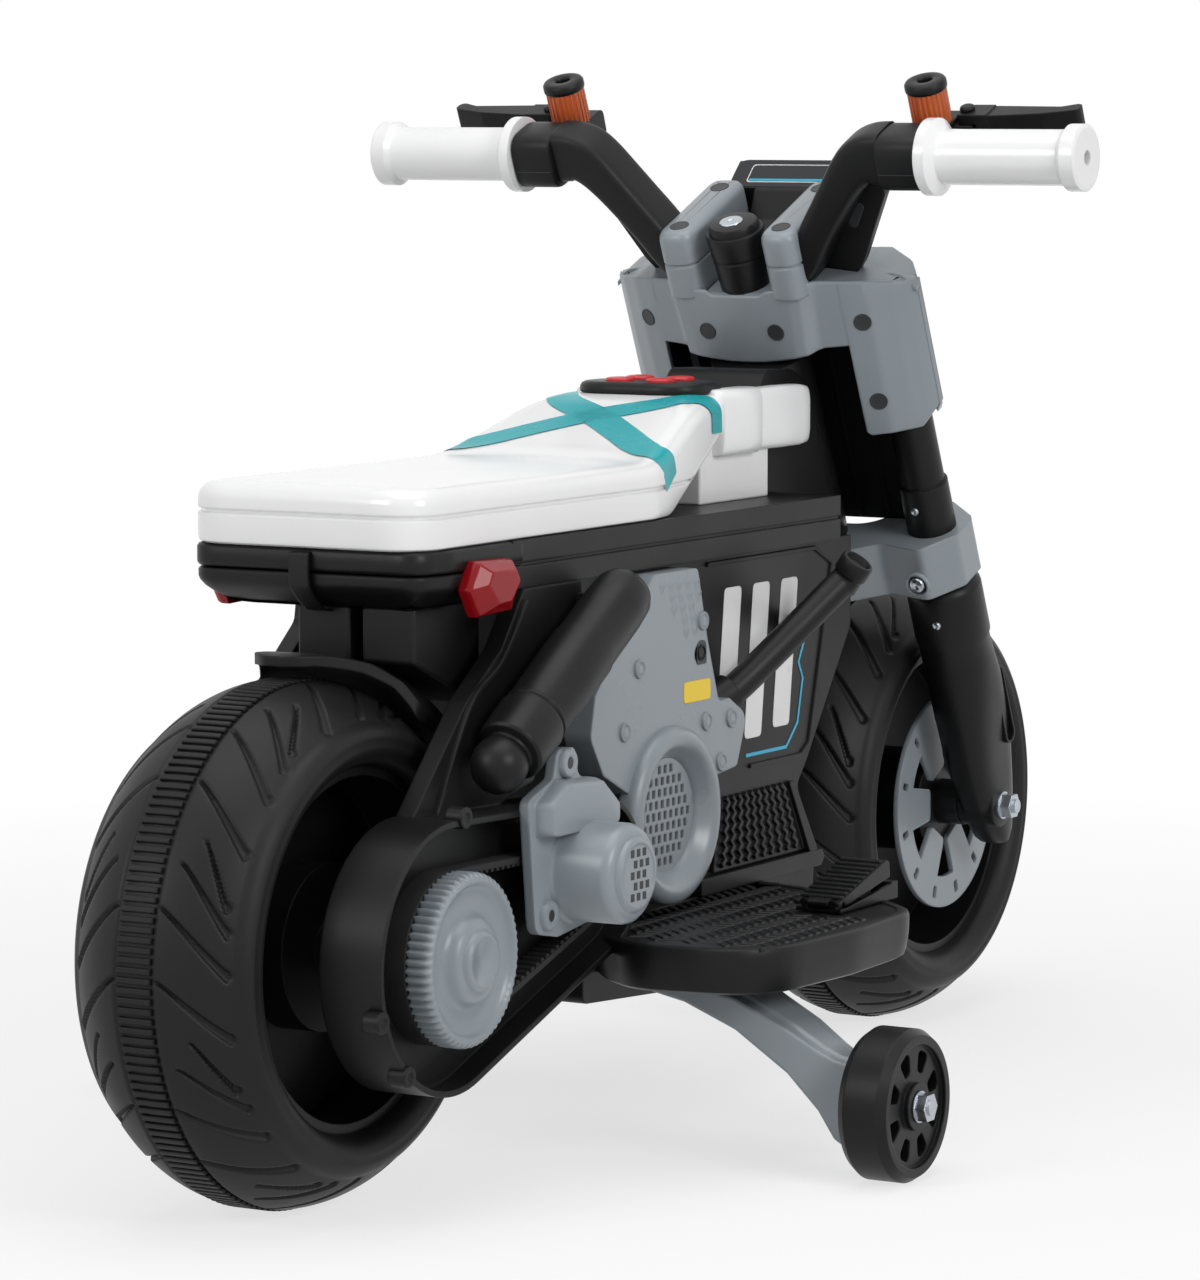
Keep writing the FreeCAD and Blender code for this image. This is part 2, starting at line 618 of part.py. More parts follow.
pad_plan = [(pad_x - pad_half_length, -pad_half_width, 24), (pad_x + pad_half_length, -pad_half_width, 24),
            (pad_x + pad_half_length, pad_half_width, 24), (pad_x - pad_half_length, pad_half_width, 24)]
pad_top_z = seat_hump_z + pad_height
pad = plate_z(pad_plan, seat_hump_z, pad_top_z)
button_places = [(pad_x + i * button_spread_x, j * button_spread_y) for i in (-1, 1) for j in (-1, 1)]
for button_x, button_y in button_places:
    pad = pad.cut(rod_z(button_x, button_y, button_radius + seat_gap, seat_hump_z - 1, pad_top_z + 1))
save("button_pad", pad)
for number, (button_x, button_y) in enumerate(button_places, 1):
    flange_top = seat_hump_z - seat_gap
    button = rod_z(button_x, button_y, button_radius, flange_top - 4, pad_top_z + button_rise)
    button = button.fuse(rod_z(button_x, button_y, button_radius + 2, flange_top - 4, flange_top - 1))
    save("button_" + str(number), button.removeSplitter())

# White nose that straddles the neck in front of the seat
neck_half_width = 30.0
nose_outer_y = neck_half_width + 14.0
nose = plate_y([(seat_front_x, 346, 4), (152, 346, 14), (152, 380, 14), (seat_front_x, seat_hump_z, 4)],
               -nose_outer_y, nose_outer_y)
nose_top_z = seat_front_low_z - seat_gap
nose_rear_x = seat_shoulder_x - 15
nose_rear_z = nose_top_z - 6.5
nose = nose.fuse(plate_y([(nose_rear_x, beam_top_z), (108, beam_top_z, 2), (108, 350),
                          (seat_front_x + 1, 350),
                          (seat_front_x + 1, nose_top_z), (seat_shoulder_x, nose_top_z),
                          (nose_rear_x, nose_rear_z)],
                         -nose_outer_y + 5, nose_outer_y - 5))
nose = nose.cut(box(80, 160, -neck_half_width - running_fit, neck_half_width + running_fit, beam_top_z - 1,
                    390))
save("seat_nose", nose.removeSplitter())

# Neck: block on the body with the sloping head tube that carries the fork
neck = plate_y([(80, beam_top_z), (beam_front_x, beam_top_z),
                (beam_front_x + running_fit, beam_bottom_z + body_wall),
                (206, beam_bottom_z + body_wall, 4), (172, 378, 8), (152, 387, 6), (122, 388, 10),
                (98, 360, 20),
                (80, 352, 4)], -neck_half_width, neck_half_width)
head = raked(rod_z(-steering_offset, 0, head_radius, head_low_v, head_high_v))
neck = neck.fuse(head)
neck = neck.cut(raked(rod_z(-steering_offset, 0, column_radius + running_fit, head_low_v - 60,
                            head_high_v + 60)))
save("neck", neck.removeSplitter())

# Tray under the tail, lid rim, strap, tail lights and rear fender
lid_low_z = beam_top_z - 12
tray_rear_x = seat_rear_x + 3
tray_rear_half_width = beam_half_width - 5


def tray_slab(inset, z0, z1):
    rear = tray_rear_half_width - inset
    side = beam_half_width - inset
    return plate_z([(tray_rear_x + inset, -rear, 22 - inset), (-272, -side), (beam_rear_x - inset, -side),
                    (beam_rear_x - inset, side), (-272, side), (tray_rear_x + inset, rear, 22 - inset)], z0,
                   z1)


lid = tray_slab(0.0, lid_low_z, beam_top_z).cut(tray_slab(4.0, lid_low_z - 1, beam_top_z - 3))
save("tray_lid", lid)
tray = plate_x([(-beam_half_width, lid_low_z), (-beam_half_width + 3, 301, 6),
                (-beam_half_width + 20, tray_bottom_z, 6),
                (beam_half_width - 20, tray_bottom_z, 6), (beam_half_width - 3, 301, 6),
                (beam_half_width, lid_low_z)],
               tray_rear_x, beam_rear_x)
tray_side = [(tray_rear_x, lid_low_z), (tray_rear_x, 303, 4), (tray_rear_x + 12, tray_bottom_z, 6),
             (beam_rear_x, tray_bottom_z), (beam_rear_x, lid_low_z)]
tray = tray.common(tray_slab(0.0, tray_bottom_z - 1, lid_low_z))
tray = tray.common(plate_y(tray_side, -beam_half_width, beam_half_width))
tray = tray.cut(box(tray_rear_x + 16, beam_rear_x - 4, -44, 44, tray_bottom_z + 3, lid_low_z + 1))
strap_half_width = 6.0
strap_x = tray_rear_x
strap = plate_y([(strap_x - 3, 318, 2), (strap_x, 318), (strap_x, 303), (strap_x + 12, tray_bottom_z),
                 (strap_x + 18, tray_bottom_z), (strap_x + 18, tray_bottom_z - 3),
                 (strap_x + 10, tray_bottom_z - 3, 3),
                 (strap_x - 3, 301, 3)],
                -strap_half_width, strap_half_width)
save("tray", tray.fuse(strap).removeSplitter())
tail_light = plate_y([(-264, 300, 2), (-258, 313, 2), (-226, 309, 2), (-222, 296, 2), (-236, 286, 2),
                      (-258, 289, 2)],
                     -beam_half_width - 12, -beam_half_width)
tail_light = tail_light.cut(plate_z([(-266, -beam_half_width - 13), (-245, -beam_half_width - 13),
                                     (-266, -beam_half_width - 5)], 280, 320))
tail_light = tail_light.cut(plate_z([(-220, -beam_half_width - 13), (-240, -beam_half_width - 13),
                                     (-220, -beam_half_width - 5)], 280, 320))
save("tail_lights", pair(tail_light))
fender_inner = wheel_radius + 7.0
fender_half_width = 46.0
fender = turned_y(rear_x, wheel_radius, [(fender_inner, -fender_half_width),
                                         (fender_inner + 4, -fender_half_width),
                                         (fender_inner + 4, fender_half_width),
                                         (fender_inner, fender_half_width)])
fender = fender.common(plate_z([(rear_x - 8.5, -8, 6), (rear_x + 56.5, -fender_half_width - 1, 30),
                                (rear_x + 109.5, -fender_half_width - 1),
                                (rear_x + 109.5, fender_half_width + 1),
                                (rear_x + 56.5, fender_half_width + 1, 30), (rear_x - 8.5, 8, 6)],
                               wheel_radius, tray_bottom_z))
fender_foot = wheel_radius + 110
for foot_x, foot_y0, foot_y1 in ((-278, -15, 15), (-276, -52, -22)):
    foot = box(foot_x, -217, foot_y0, foot_y1, fender_foot, tray_bottom_z)
    foot = foot.cut(box(foot_x + 4, -221, foot_y0 + 4, foot_y1 - 4, fender_foot - 1, tray_bottom_z - 4))
    fender = fender.fuse(foot.cut(rod_y(rear_x, wheel_radius, fender_inner, -80, 80)))
save("rear_fender", fender.removeSplitter())

# Shock absorber outside the right swing arm: ball foot, ribbed sleeve, plain tube
shock_y = -case_inner_y - arm_thickness - 17.5 - seat_gap
shock_foot = Vec(-262, shock_y, 216)
shock_top = Vec(-136, shock_y, beam_bottom_z - 4)
shock_run = shock_top - shock_foot
shock_way = Vec(shock_run)
shock_way.normalize()
shock = Part.makeSphere(17.0, shock_foot)
shock = shock.fuse(rod(shock_foot, shock_foot + shock_way * 62, 16.0))
for k in range(3):
    shock = shock.fuse(rod(shock_foot + shock_way * (28 + 12 * k), shock_foot + shock_way * (34 + 12 * k),
                           17.5))
shock = shock.fuse(rod(shock_foot + shock_way * 58, shock_top, 17.0))
save("shock", shock.removeSplitter())

# Crash bars: sloping tube with an outward peg, carried on the body side
peg_x = 84.0
peg_z = 287.0
peg_outer_y = 108.0
bar_start = Vec(-14, -body_half_width, 226)
bar_knee = Vec(2, -body_half_width - 22, 234)
crash_bar = rod(bar_start, bar_knee, 8.0)
crash_bar = crash_bar.fuse(Part.makeSphere(8.0, bar_knee))
crash_bar = crash_bar.fuse(rod(bar_knee, Vec(peg_x, -body_half_width - 22, peg_z), 8.0))
crash_bar = crash_bar.fuse(rod_y(peg_x, peg_z, 9.0, -peg_outer_y, -body_half_width))
crash_bar = crash_bar.fuse(rod(Vec(peg_x, -body_half_width - 18, peg_z - 4),
                               Vec(peg_x + 4, -body_half_width - 4, 252), 7.0))
crash_bar = crash_bar.cut(box(-60, 160, -body_half_width, 0, 180, 320))
crash_bar = crash_bar.cut(rod_y(peg_x, peg_z, 6.5, -peg_outer_y - 1, -peg_outer_y + 1))
crash_bar = crash_bar.cut(box(-60, 13.0, -panel_outer_y - seat_gap, 0, 180, 320))
save("crash_bars", pair(crash_bar.removeSplitter()))

# Footboards: hollow slabs bolted to the body foot
board_plan = [(-126, -body_half_width), (-156, -86, 10), (-174, -112, 14),
              (-160, -footboard_outer_y + 8, 16),
              (-76, -footboard_outer_y, 60), (-4, -footboard_outer_y + 4, 16), (22, -154, 20),
              (44, -88, 20),
              (52, -body_half_width)]
footboard = plate_z(board_plan, footboard_bottom_z, footboard_top_z)
footboard = footboard.cut(plate_z([(-116, -body_half_width - 6), (-146, -90, 8), (-162, -114, 10),
                                   (-152, -footboard_outer_y + 16, 12), (-76, -footboard_outer_y + 6, 40),
                                   (-8, -footboard_outer_y + 10, 12), (16, -150, 16), (38, -86, 16),
                                   (44, -body_half_width - 6)], footboard_bottom_z - 1,
                                  footboard_top_z - 4))
footboard = footboard.cut(box(-150, 115, -body_half_width - 8 - running_fit, 0, 70, body_bottom_z))
footboard = footboard.cut(case_slab(-seat_gap, -case_outer_y - seat_gap, -body_half_width))
save("footboards", pair(footboard.removeSplitter()))

# Accelerator pedal on the right footboard: wedge base with hinge ears, ribbed wedge plate, switch below
base_low_z = footboard_top_z
base_floor_z = base_low_z + 2.0
base_rear_x = pedal_hinge_x - 3.0
base_front_x = 31.0
base = box(base_rear_x, base_front_x, -pedal_outer_y, -pedal_inner_y, base_low_z, base_floor_z)
base = base.fuse(box(base_front_x - 7, base_front_x, -pedal_outer_y, -pedal_inner_y, base_low_z,
                     base_low_z + 9))
for wall_y in (-pedal_outer_y, -pedal_inner_y - pedal_wall):
    base = base.fuse(plate_y([(pedal_hinge_x + 5, base_low_z), (base_front_x, base_low_z),
                              (base_front_x, base_low_z + 9),
                              (pedal_hinge_x + 5, base_floor_z)], wall_y, wall_y + pedal_wall))
ear_places = (-pedal_outer_y + 3, -pedal_inner_y - 3 - pedal_ear_width)
for ear_y in ear_places:
    base = base.fuse(box(base_rear_x, pedal_hinge_x + 3, ear_y, ear_y + pedal_ear_width, base_low_z,
                         pedal_hinge_z + 2.5))
knuckle_y0 = ear_places[0] + pedal_ear_width + seat_gap
knuckle_y1 = ear_places[1] - seat_gap
knuckle_radius = pedal_pin_radius + 1.7
base = base.cut(rod_y(pedal_hinge_x, pedal_hinge_z, knuckle_radius + seat_gap, knuckle_y0 - seat_gap,
                      knuckle_y1 + seat_gap))
base = base.fuse(rod_y(pedal_hinge_x, pedal_hinge_z, pedal_pin_radius, ear_places[0],
                       ear_places[1] + pedal_ear_width))
save("pedal_base", base.removeSplitter())
pedal = plate_y([(pedal_hinge_x - 5, pedal_hinge_z - 0.5), (pedal_hinge_x - 5, pedal_hinge_z + 1.5),
                 (18, 139.5, 1.5), (21, 138, 1),
                 (22, 130, 1), (18, 129.5), (pedal_hinge_x + 7, pedal_hinge_z - 0.2)], -pedal_outer_y,
                -pedal_inner_y)
pedal = pedal.fuse(rod_y(pedal_hinge_x, pedal_hinge_z, knuckle_radius, knuckle_y0, knuckle_y1))
for ear_y in ear_places:
    pedal = pedal.cut(box(base_rear_x - 3, pedal_hinge_x + 4, ear_y - seat_gap,
                          ear_y + pedal_ear_width + seat_gap,
                          base_low_z, pedal_hinge_z + 10))
pedal = pedal.cut(rod_y(pedal_hinge_x, pedal_hinge_z, pedal_pin_radius + running_fit, -pedal_outer_y - 5,
                        -pedal_inner_y + 5))
save("accelerator_pedal", pedal.removeSplitter())
switch_y = -(pedal_outer_y + pedal_inner_y) / 2
save("foot_switch", box(4, 16, switch_y - 5, switch_y + 5, base_floor_z, base_floor_z + 4))

# Training wheel brackets, bolts and wheels
bracket_end_y = training_inner_y - 4.0
bracket = plate_x([(-body_half_width - 8, footboard_bottom_z - 12, 3), (-158, footboard_bottom_z - 14, 10),
                   (-bracket_end_y + 10, 52, 8), (-bracket_end_y + 10, 16, 4), (-bracket_end_y, 14, 4),
                   (-bracket_end_y, 62, 8), (-176, footboard_bottom_z, 6),
                   (-body_half_width - 8, footboard_bottom_z)],
                  training_x - 24, training_x + 26)
bracket = bracket.cut(rod_y(training_x, training_radius, axle_radius + running_fit, -260, -100))


def staggered(right):
    """A right-hand piece of the training gear and its mirror image, set further forward, on the left."""
    left = mirrored(right)
    left.translate(Vec(training_stagger, 0, 0))
    return left


save("training_brackets", group(bracket, staggered(bracket)))
bolt_end_y = training_outer_y + 1.0
bolt = rod_y(training_x, training_radius, axle_radius, -bolt_end_y - nut_height, -bracket_end_y + 10)
bolt = bolt.fuse(hexagon_y(training_x, training_radius, nut_across_flats, -bracket_end_y + 10,
                           -bracket_end_y + 15))
bolt_nut = hexagon_y(training_x, training_radius, nut_across_flats, -bolt_end_y - nut_height + 1,
                     -bolt_end_y)
bolt_nut = bolt_nut.fuse(turned_y(training_x, training_radius,
                                  [(0, -bolt_end_y), (washer_radius, -bolt_end_y),
                                   (washer_radius, -bolt_end_y + 0.7), (0, -bolt_end_y + 0.7)]))
bolt = bolt.fuse(bolt_nut).removeSplitter()
save("training_bolts", group(bolt, staggered(bolt)))
tread = [(axle_radius + running_fit, -training_inner_y), (13, -training_inner_y),
         (13, -training_inner_y - 10),
         (30, -training_inner_y - 10), (30, -training_inner_y), (training_radius - 3, -training_inner_y),
         (training_radius, -training_inner_y - 4), (training_radius, -training_outer_y + 5),
         (training_radius - 3, -training_outer_y + 0.5), (31, -training_outer_y + 0.5),
         (31, -training_outer_y + 3),
         (12, -training_outer_y + 3), (12, -training_outer_y),
         (axle_radius + running_fit, -training_outer_y)]
training_wheel = turned_y(training_x, training_radius, tread)
for k in range(8):
    cut_out = plate_y([(training_x + 17, training_radius - 3, 2.5),
                       (training_x + 28, training_radius - 6, 3),
                       (training_x + 28, training_radius + 6, 3),
                       (training_x + 17, training_radius + 3, 2.5)],
                      -260, -200)
    cut_out.rotate(Vec(training_x, 0, training_radius), Vec(0, 1, 0), 45 * k + 22.5)
    training_wheel = training_wheel.cut(cut_out)
save("training_wheel_right", training_wheel)
save("training_wheel_left", staggered(training_wheel))

# Fork: tubes, lower legs, triple clamp and steering column, in fork coordinates
tube_low_v = 117.0
tube_high_v = shroud_top_v - shroud_wall
fork_tube = rod_z(0, -fork_y, fork_tube_radius, tube_low_v, tube_high_v)
fork_tube = fork_tube.fuse(rod_z(0, -fork_y, fork_sleeve_radius, clamp_high_v, 211))
fork_tube = fork_tube.removeSplitter()
cover_u = head_radius - steering_offset + 2
cover_half_width = fork_y - fork_sleeve_radius - seat_gap
fork_cover = box(cover_u, cover_u + shroud_wall, -cover_half_width, cover_half_width, clamp_high_v,
                 head_high_v)
save("fork_tubes", raked(group(fork_tube, mirrored(fork_tube), fork_cover)))
leg = rod_z(0, -fork_y, fork_leg_radius + 1.5, 112, clamp_low_v - 3)
leg = leg.fuse(rod_z(0, -fork_y, fork_leg_radius, 30, 112))
blade = plate_y([(-19, 100), (19, 100), (27, 50, 10), (30, 0, 12), (14, -26, 6), (-8, -26, 4),
                 (-19, 40, 20)],
                -fork_leg_outer_y, -fork_leg_inner_y)
leg = leg.fuse(blade)
leg = leg.cut(rod_z(0, -fork_y, fork_tube_radius + running_fit, tube_low_v, clamp_low_v))
leg = leg.cut(plate_y([(18, 84, 2), (24, 84, 2), (26, 48, 2), (20, 48, 2)], -100, -fork_leg_outer_y + 4))
leg = leg.cut(rod_y(0, 0, axle_radius + running_fit, -120, -40))
save("fork_legs", raked(pair(leg.removeSplitter())))
clamp_plan = [(-steering_offset - 18, -20, 10), (-steering_offset - 18, 20, 10), (-22, fork_y - 22, 10),
              (-28, fork_y + 4, 6), (-8, fork_y + 19, 6), (14, fork_y + 19, 6), (32, fork_y - 2, 6),
              (22, fork_y - 24, 12), (0, 34, 20), (0, -34, 20), (22, -fork_y + 24, 12),
              (32, -fork_y + 2, 6),
              (14, -fork_y - 19, 6), (-8, -fork_y - 19, 6), (-28, -fork_y - 4, 6), (-22, -fork_y + 22, 10)]
clamp = plate_z(clamp_plan, clamp_low_v, clamp_high_v)
for side in (-1, 1):
    clamp = clamp.cut(rod_z(0, side * fork_y, fork_tube_radius + running_fit, clamp_low_v - 1,
                            clamp_high_v + 1))
clamp = clamp.cut(rod_z(-steering_offset, 0, column_radius + running_fit, clamp_low_v - 1,
                        clamp_high_v + 1))
save("lower_clamp", raked(clamp))
column = rod_z(-steering_offset, 0, column_radius, clamp_low_v, shroud_top_v - shroud_wall)
column = column.fuse(rod_z(-steering_offset, 0, column_radius + 4, clamp_low_v - 4, clamp_low_v))
save("steering_column", raked(column.removeSplitter()))

# Shroud halves meet on the plane of the fork tubes; the rear one is an arch over the neck
arch = [(-shroud_half_width, shroud_low_v + 6, 4), (-86, shroud_low_v, 4), (-58, shroud_low_v, 5),
        (-60, shroud_arch_v, 5), (60, shroud_arch_v, 5), (58, shroud_low_v, 5), (86, shroud_low_v, 4),
        (shroud_half_width, shroud_low_v + 6, 4), (shroud_half_width, shroud_top_v - 8, 6),
        (66, shroud_top_v, 10),
        (-66, shroud_top_v, 10), (-shroud_half_width, shroud_top_v - 8, 6)]

rear_plan = [(0, -shroud_half_width), (-7, -shroud_half_width, 3), (-20, -70, 12), (-35, -36, 12),
             (-35, 36, 12),
             (-20, 70, 12), (-7, shroud_half_width, 3), (0, shroud_half_width)]
rear_hollow = [(1, -shroud_half_width + 3), (-5, -shroud_half_width + 3, 2), (-17, -68, 10), (-32, -35, 10),
               (-32, 35, 10), (-17, 68, 10), (-5, shroud_half_width - 3, 2), (1, shroud_half_width - 3)]
shroud_rear = plate_z(rear_plan, shroud_low_v, shroud_top_v)
shroud_rear = shroud_rear.cut(plate_z(rear_hollow, shroud_low_v - 1, shroud_top_v - shroud_wall))
shroud_rear = shroud_rear.common(plate_x(arch, -60, 20))
screw_places = [(-20.5, side * 67.6, v) for side in (-1, 1) for v in (320.6, 271.7)]
screw_places += [(-35.0, side * 21.4, 321.0) for side in (-1, 1)]
for face_u, screw_y, screw_v in screw_places:
    boss = rod(Vec(face_u + 0.8, screw_y, screw_v), Vec(face_u + 7.0, screw_y, screw_v), 6.0)
    recess = rod(Vec(face_u - 6, screw_y, screw_v), Vec(face_u + 5.0, screw_y, screw_v),
                 screw_recess_radius)
    fitted = boss.cut(rod_z(0, math.copysign(fork_y, screw_y), fork_tube_radius + 0.2, shroud_low_v,
                            shroud_top_v))
    shroud_rear = shroud_rear.fuse(fitted)
    shroud_rear = shroud_rear.cut(recess)
for side in (-1, 1):
    shroud_rear = shroud_rear.cut(rod_z(0, side * fork_y, fork_tube_radius + 0.2, shroud_low_v - 1,
                                        tube_high_v))
column_hole = rod_z(-steering_offset, 0, column_radius + 0.2, shroud_low_v, shroud_top_v - shroud_wall)
shroud_rear = shroud_rear.cut(column_hole)
save("shroud_rear", raked(shroud_rear.removeSplitter()))
front_half_width = shroud_half_width + 2
front_plan = [(0, -front_half_width), (3, -front_half_width, 2), (15, -front_half_width + 8, 8),
              (28, -68, 12), (28, 68, 12),
              (15, front_half_width - 8, 8), (3, front_half_width, 2), (0, front_half_width)]
front_hollow = [(-1, -front_half_width + 3), (2, -front_half_width + 3),
                (13.5, -front_half_width + 10.5, 6), (25, -66, 10),
                (25, 66, 10), (13.5, front_half_width - 10.5, 6), (2, front_half_width - 3),
                (-1, front_half_width - 3)]
shroud_front = plate_z(front_plan, shroud_low_v - 2, shroud_top_v)
shroud_front = shroud_front.cut(plate_z(front_hollow, shroud_low_v - 3, shroud_top_v - shroud_wall))
front_face = [(-front_half_width, shroud_low_v + 8, 4), (-front_half_width + 8, shroud_low_v - 2, 4),
              (-50, shroud_low_v - 2, 8), (-36, shroud_low_v + 30, 10), (36, shroud_low_v + 30, 10),
              (50, shroud_low_v - 2, 8), (front_half_width - 8, shroud_low_v - 2, 4),
              (front_half_width, shroud_low_v + 8, 4), (front_half_width, shroud_top_v - 10, 6),
              (68, shroud_top_v, 8), (-68, shroud_top_v, 8), (-front_half_width, shroud_top_v - 10, 6)]
shroud_front = shroud_front.common(plate_x(front_face, -10, 60))
save("shroud_front", raked(shroud_front.removeSplitter()))

# Handlebar: two moulded arms under grey clamp caps, bar ends, grips, perches, levers and indicators
arm_u0 = bar_u - 13.0
arm_u1 = bar_u + 15.0
bar_arm = plate_x([(-20, shroud_top_v), (-42, shroud_top_v, 4), (-54, 365, 10), (-87, 407, 8),
                   (-101, 405, 3), (-101, 436, 6),
                   (-85, 436, 10), (-46, 386, 10), (-43, 358), (-20, 358)], arm_u0, arm_u1)
wing = plate_x([(-40, shroud_top_v), (-58, shroud_top_v, 4), (-68, 352, 6), (-89, 392, 8), (-90, 412),
                (-52, 366)],
               arm_u1 - 7, arm_u1)
wing_slot = plate_x([(-68, 374, 2.6), (-76, 382, 2.6), (-72, 386, 2.6), (-64, 378, 2.6)], arm_u1 - 8,
                    arm_u1 + 1)
bar_arm = bar_arm.fuse(wing.cut(wing_slot))
bar_arm = bar_arm.cut(rod_z(-steering_offset, 0, stem_radius + 0.5, shroud_top_v - 1, 390))
bar_end_y = grip_outer_y - 7.0
bar_arm = bar_arm.fuse(rod_y(bar_u, bar_v, bar_radius, -bar_end_y, -88))
save("bar_arms", raked(pair(bar_arm.removeSplitter())))
cap_length_u = 38.0
cap = plate_z([(-cap_length_u, -43, 9), (cap_length_u, -43, 9), (cap_length_u, -21, 9),
               (-cap_length_u, -21, 9)],
              shroud_top_v, 380)
cap = cap.cut(box(arm_u0 - running_fit, arm_u1 + running_fit, -44, -20, shroud_top_v - 1,
                  358 + running_fit))
cap = cap.cut(rod_z(-steering_offset, 0, stem_radius + 0.5, shroud_top_v - 1, 390))
for hole_u in (-26.0, 24.6):
    cap = cap.cut(rod_z(hole_u, -31.8, 4.3, 372, 381))
save("clamp_caps", raked(pair(cap)))
stem = rod_z(-steering_offset, 0, stem_radius, shroud_top_v, 362)
stem = stem.fuse(rod_z(-steering_offset, 0, stem_radius - 0.6, 362, 385))
save("stem_cap", raked(stem.removeSplitter()))
display = plate_y([(14, shroud_top_v), (27, shroud_top_v, 2), (44, 361, 4), (66, 371, 5), (62, 381, 4),
                   (38, 372, 8),
                   (26, 360, 4), (14, 356, 4)], -36, 36)
display = display.common(plate_z([(0, -18), (40, -18), (40, -39, 8), (80, -39), (80, 39), (40, 39, 8),
                                  (40, 18), (0, 18)],
                                 shroud_top_v - 1, 390))
screen_tilt = math.degrees(math.atan2(9, 24))
screen = box(-9, 9, -30, 30, -1.2, 3)
screen.rotate(Vec(0, 0, 0), Vec(0, 1, 0), -screen_tilt)
screen.translate(Vec(50.5, 0, 376.7))
display = display.cut(screen)
save("display_housing", raked(display.removeSplitter()))
grip_profile = [(bar_radius + running_fit, -grip_inner_y), (grip_flange_radius, -grip_inner_y),
                (grip_flange_radius, -grip_inner_y - 6), (grip_radius, -grip_inner_y - 10),
                (grip_radius, -grip_outer_y + 12), (18, -grip_outer_y + 9), (18, -grip_outer_y + 1),
                (16, -grip_outer_y), (4, -grip_outer_y), (4, -bar_end_y),
                (bar_radius + running_fit, -bar_end_y)]
grip = turned_y(bar_u, bar_v, grip_profile)
save("grips", raked(pair(grip)))
perch_half = 17.0
perch_inner_y = 101.0
octagon = [(bar_u + perch_half / math.cos(math.radians(22.5)) * math.cos(math.radians(22.5 + 45 * k)),
            bar_v + perch_half / math.cos(math.radians(22.5)) * math.sin(math.radians(22.5 + 45 * k)))
           for k in range(8)]
perch_outer_y = grip_inner_y - seat_gap
perch = plate_y(octagon, -perch_outer_y, -perch_inner_y)
perch = perch.fuse(box(bar_u, lever_u + 9, -perch_outer_y, -perch_inner_y, 406, 424))
tongue_low_v = 414.0
tongue_high_v = 421.0
tongue = plate_z([(lever_u - 9, -perch_outer_y + 1), (lever_u + 9, -perch_outer_y + 1),
                  (lever_u + 7, -lever_y - 5, 4),
                  (lever_u - 7, -lever_y - 5, 4)], tongue_low_v, tongue_high_v)
perch = perch.fuse(tongue)
perch = perch.cut(rod_y(bar_u, bar_v, bar_radius + running_fit, -130, -95))
cheek_gap = 0.4
lever_low_v = tongue_low_v - 5.0
lever_high_v = tongue_high_v + 6.0
perch = perch.fuse(rod_z(lever_u, -lever_y, lever_pin_radius, lever_low_v, lever_high_v))
save("lever_perches", raked(pair(perch.removeSplitter())))
lever_root = plate_z([(lever_u - 7, -lever_y + 4.4, 3), (lever_u + 7, -lever_y + 4.4, 3),
                      (lever_u + 7, -lever_y - 14),
                      (lever_u - 7, -lever_y - 14)], lever_low_v, lever_high_v)
lever_blade = plate_z([(lever_u + 7, -lever_y - 8), (lever_u + 6, -lever_reach_y + 12, 4),
                       (lever_u + 11, -lever_reach_y, 3),
                       (lever_u + 2, -lever_reach_y, 3), (lever_u - 3, -lever_reach_y + 20, 8),
                       (lever_u - 7, -lever_y - 8)],
                      lever_low_v + 2, lever_high_v - 0.6)
lever = lever_root.fuse(lever_blade)
lever = lever.cut(box(lever_u - 20, lever_u + 20, -lever_y - 6.5, -lever_y + 20, tongue_low_v - cheek_gap,
                      tongue_high_v + cheek_gap))
lever = lever.cut(rod_z(lever_u, -lever_y, lever_pin_radius + running_fit, 395, 435))
right_lever = lever.removeSplitter()
save("brake_lever_right", raked(right_lever))
save("brake_lever_left", raked(mirrored(right_lever)))
lens_top_v = lens_low_v + lens_height
lens_cap_top_v = lens_top_v + lens_cap_height
lens = rod_z(blinker_u, -blinker_y, blinker_radius, lens_low_v, lens_top_v)
save("indicator_lenses", raked(pair(lens)))
lens_cap = rod_z(blinker_u, -blinker_y, blinker_radius + 0.6, lens_top_v, lens_cap_top_v)
lens_cap = lens_cap.cut(rod_z(blinker_u, -blinker_y, 4.0, lens_top_v + 1, lens_cap_top_v + 1))
save("indicator_caps", raked(pair(lens_cap)))
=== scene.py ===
import bpy, bmesh, json
import numpy as np
from math import acos, atan2, copysign, cos, hypot, pi, radians, sin, tan
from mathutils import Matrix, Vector
from mathutils.geometry import tessellate_polygon


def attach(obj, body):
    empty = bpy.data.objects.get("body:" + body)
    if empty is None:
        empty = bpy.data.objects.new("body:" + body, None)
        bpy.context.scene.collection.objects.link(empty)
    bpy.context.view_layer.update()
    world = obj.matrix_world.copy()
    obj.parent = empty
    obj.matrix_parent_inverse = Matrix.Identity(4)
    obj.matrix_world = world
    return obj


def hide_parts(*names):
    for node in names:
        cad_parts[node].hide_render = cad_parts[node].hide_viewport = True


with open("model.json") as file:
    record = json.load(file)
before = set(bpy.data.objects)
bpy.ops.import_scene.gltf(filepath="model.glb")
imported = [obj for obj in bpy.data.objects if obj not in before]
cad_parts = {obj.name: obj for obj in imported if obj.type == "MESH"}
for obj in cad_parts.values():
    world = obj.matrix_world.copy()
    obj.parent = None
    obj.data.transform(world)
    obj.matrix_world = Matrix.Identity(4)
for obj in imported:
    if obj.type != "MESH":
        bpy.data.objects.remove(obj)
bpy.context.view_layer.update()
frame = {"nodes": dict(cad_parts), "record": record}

nodes = frame["nodes"]
MM = 0.001
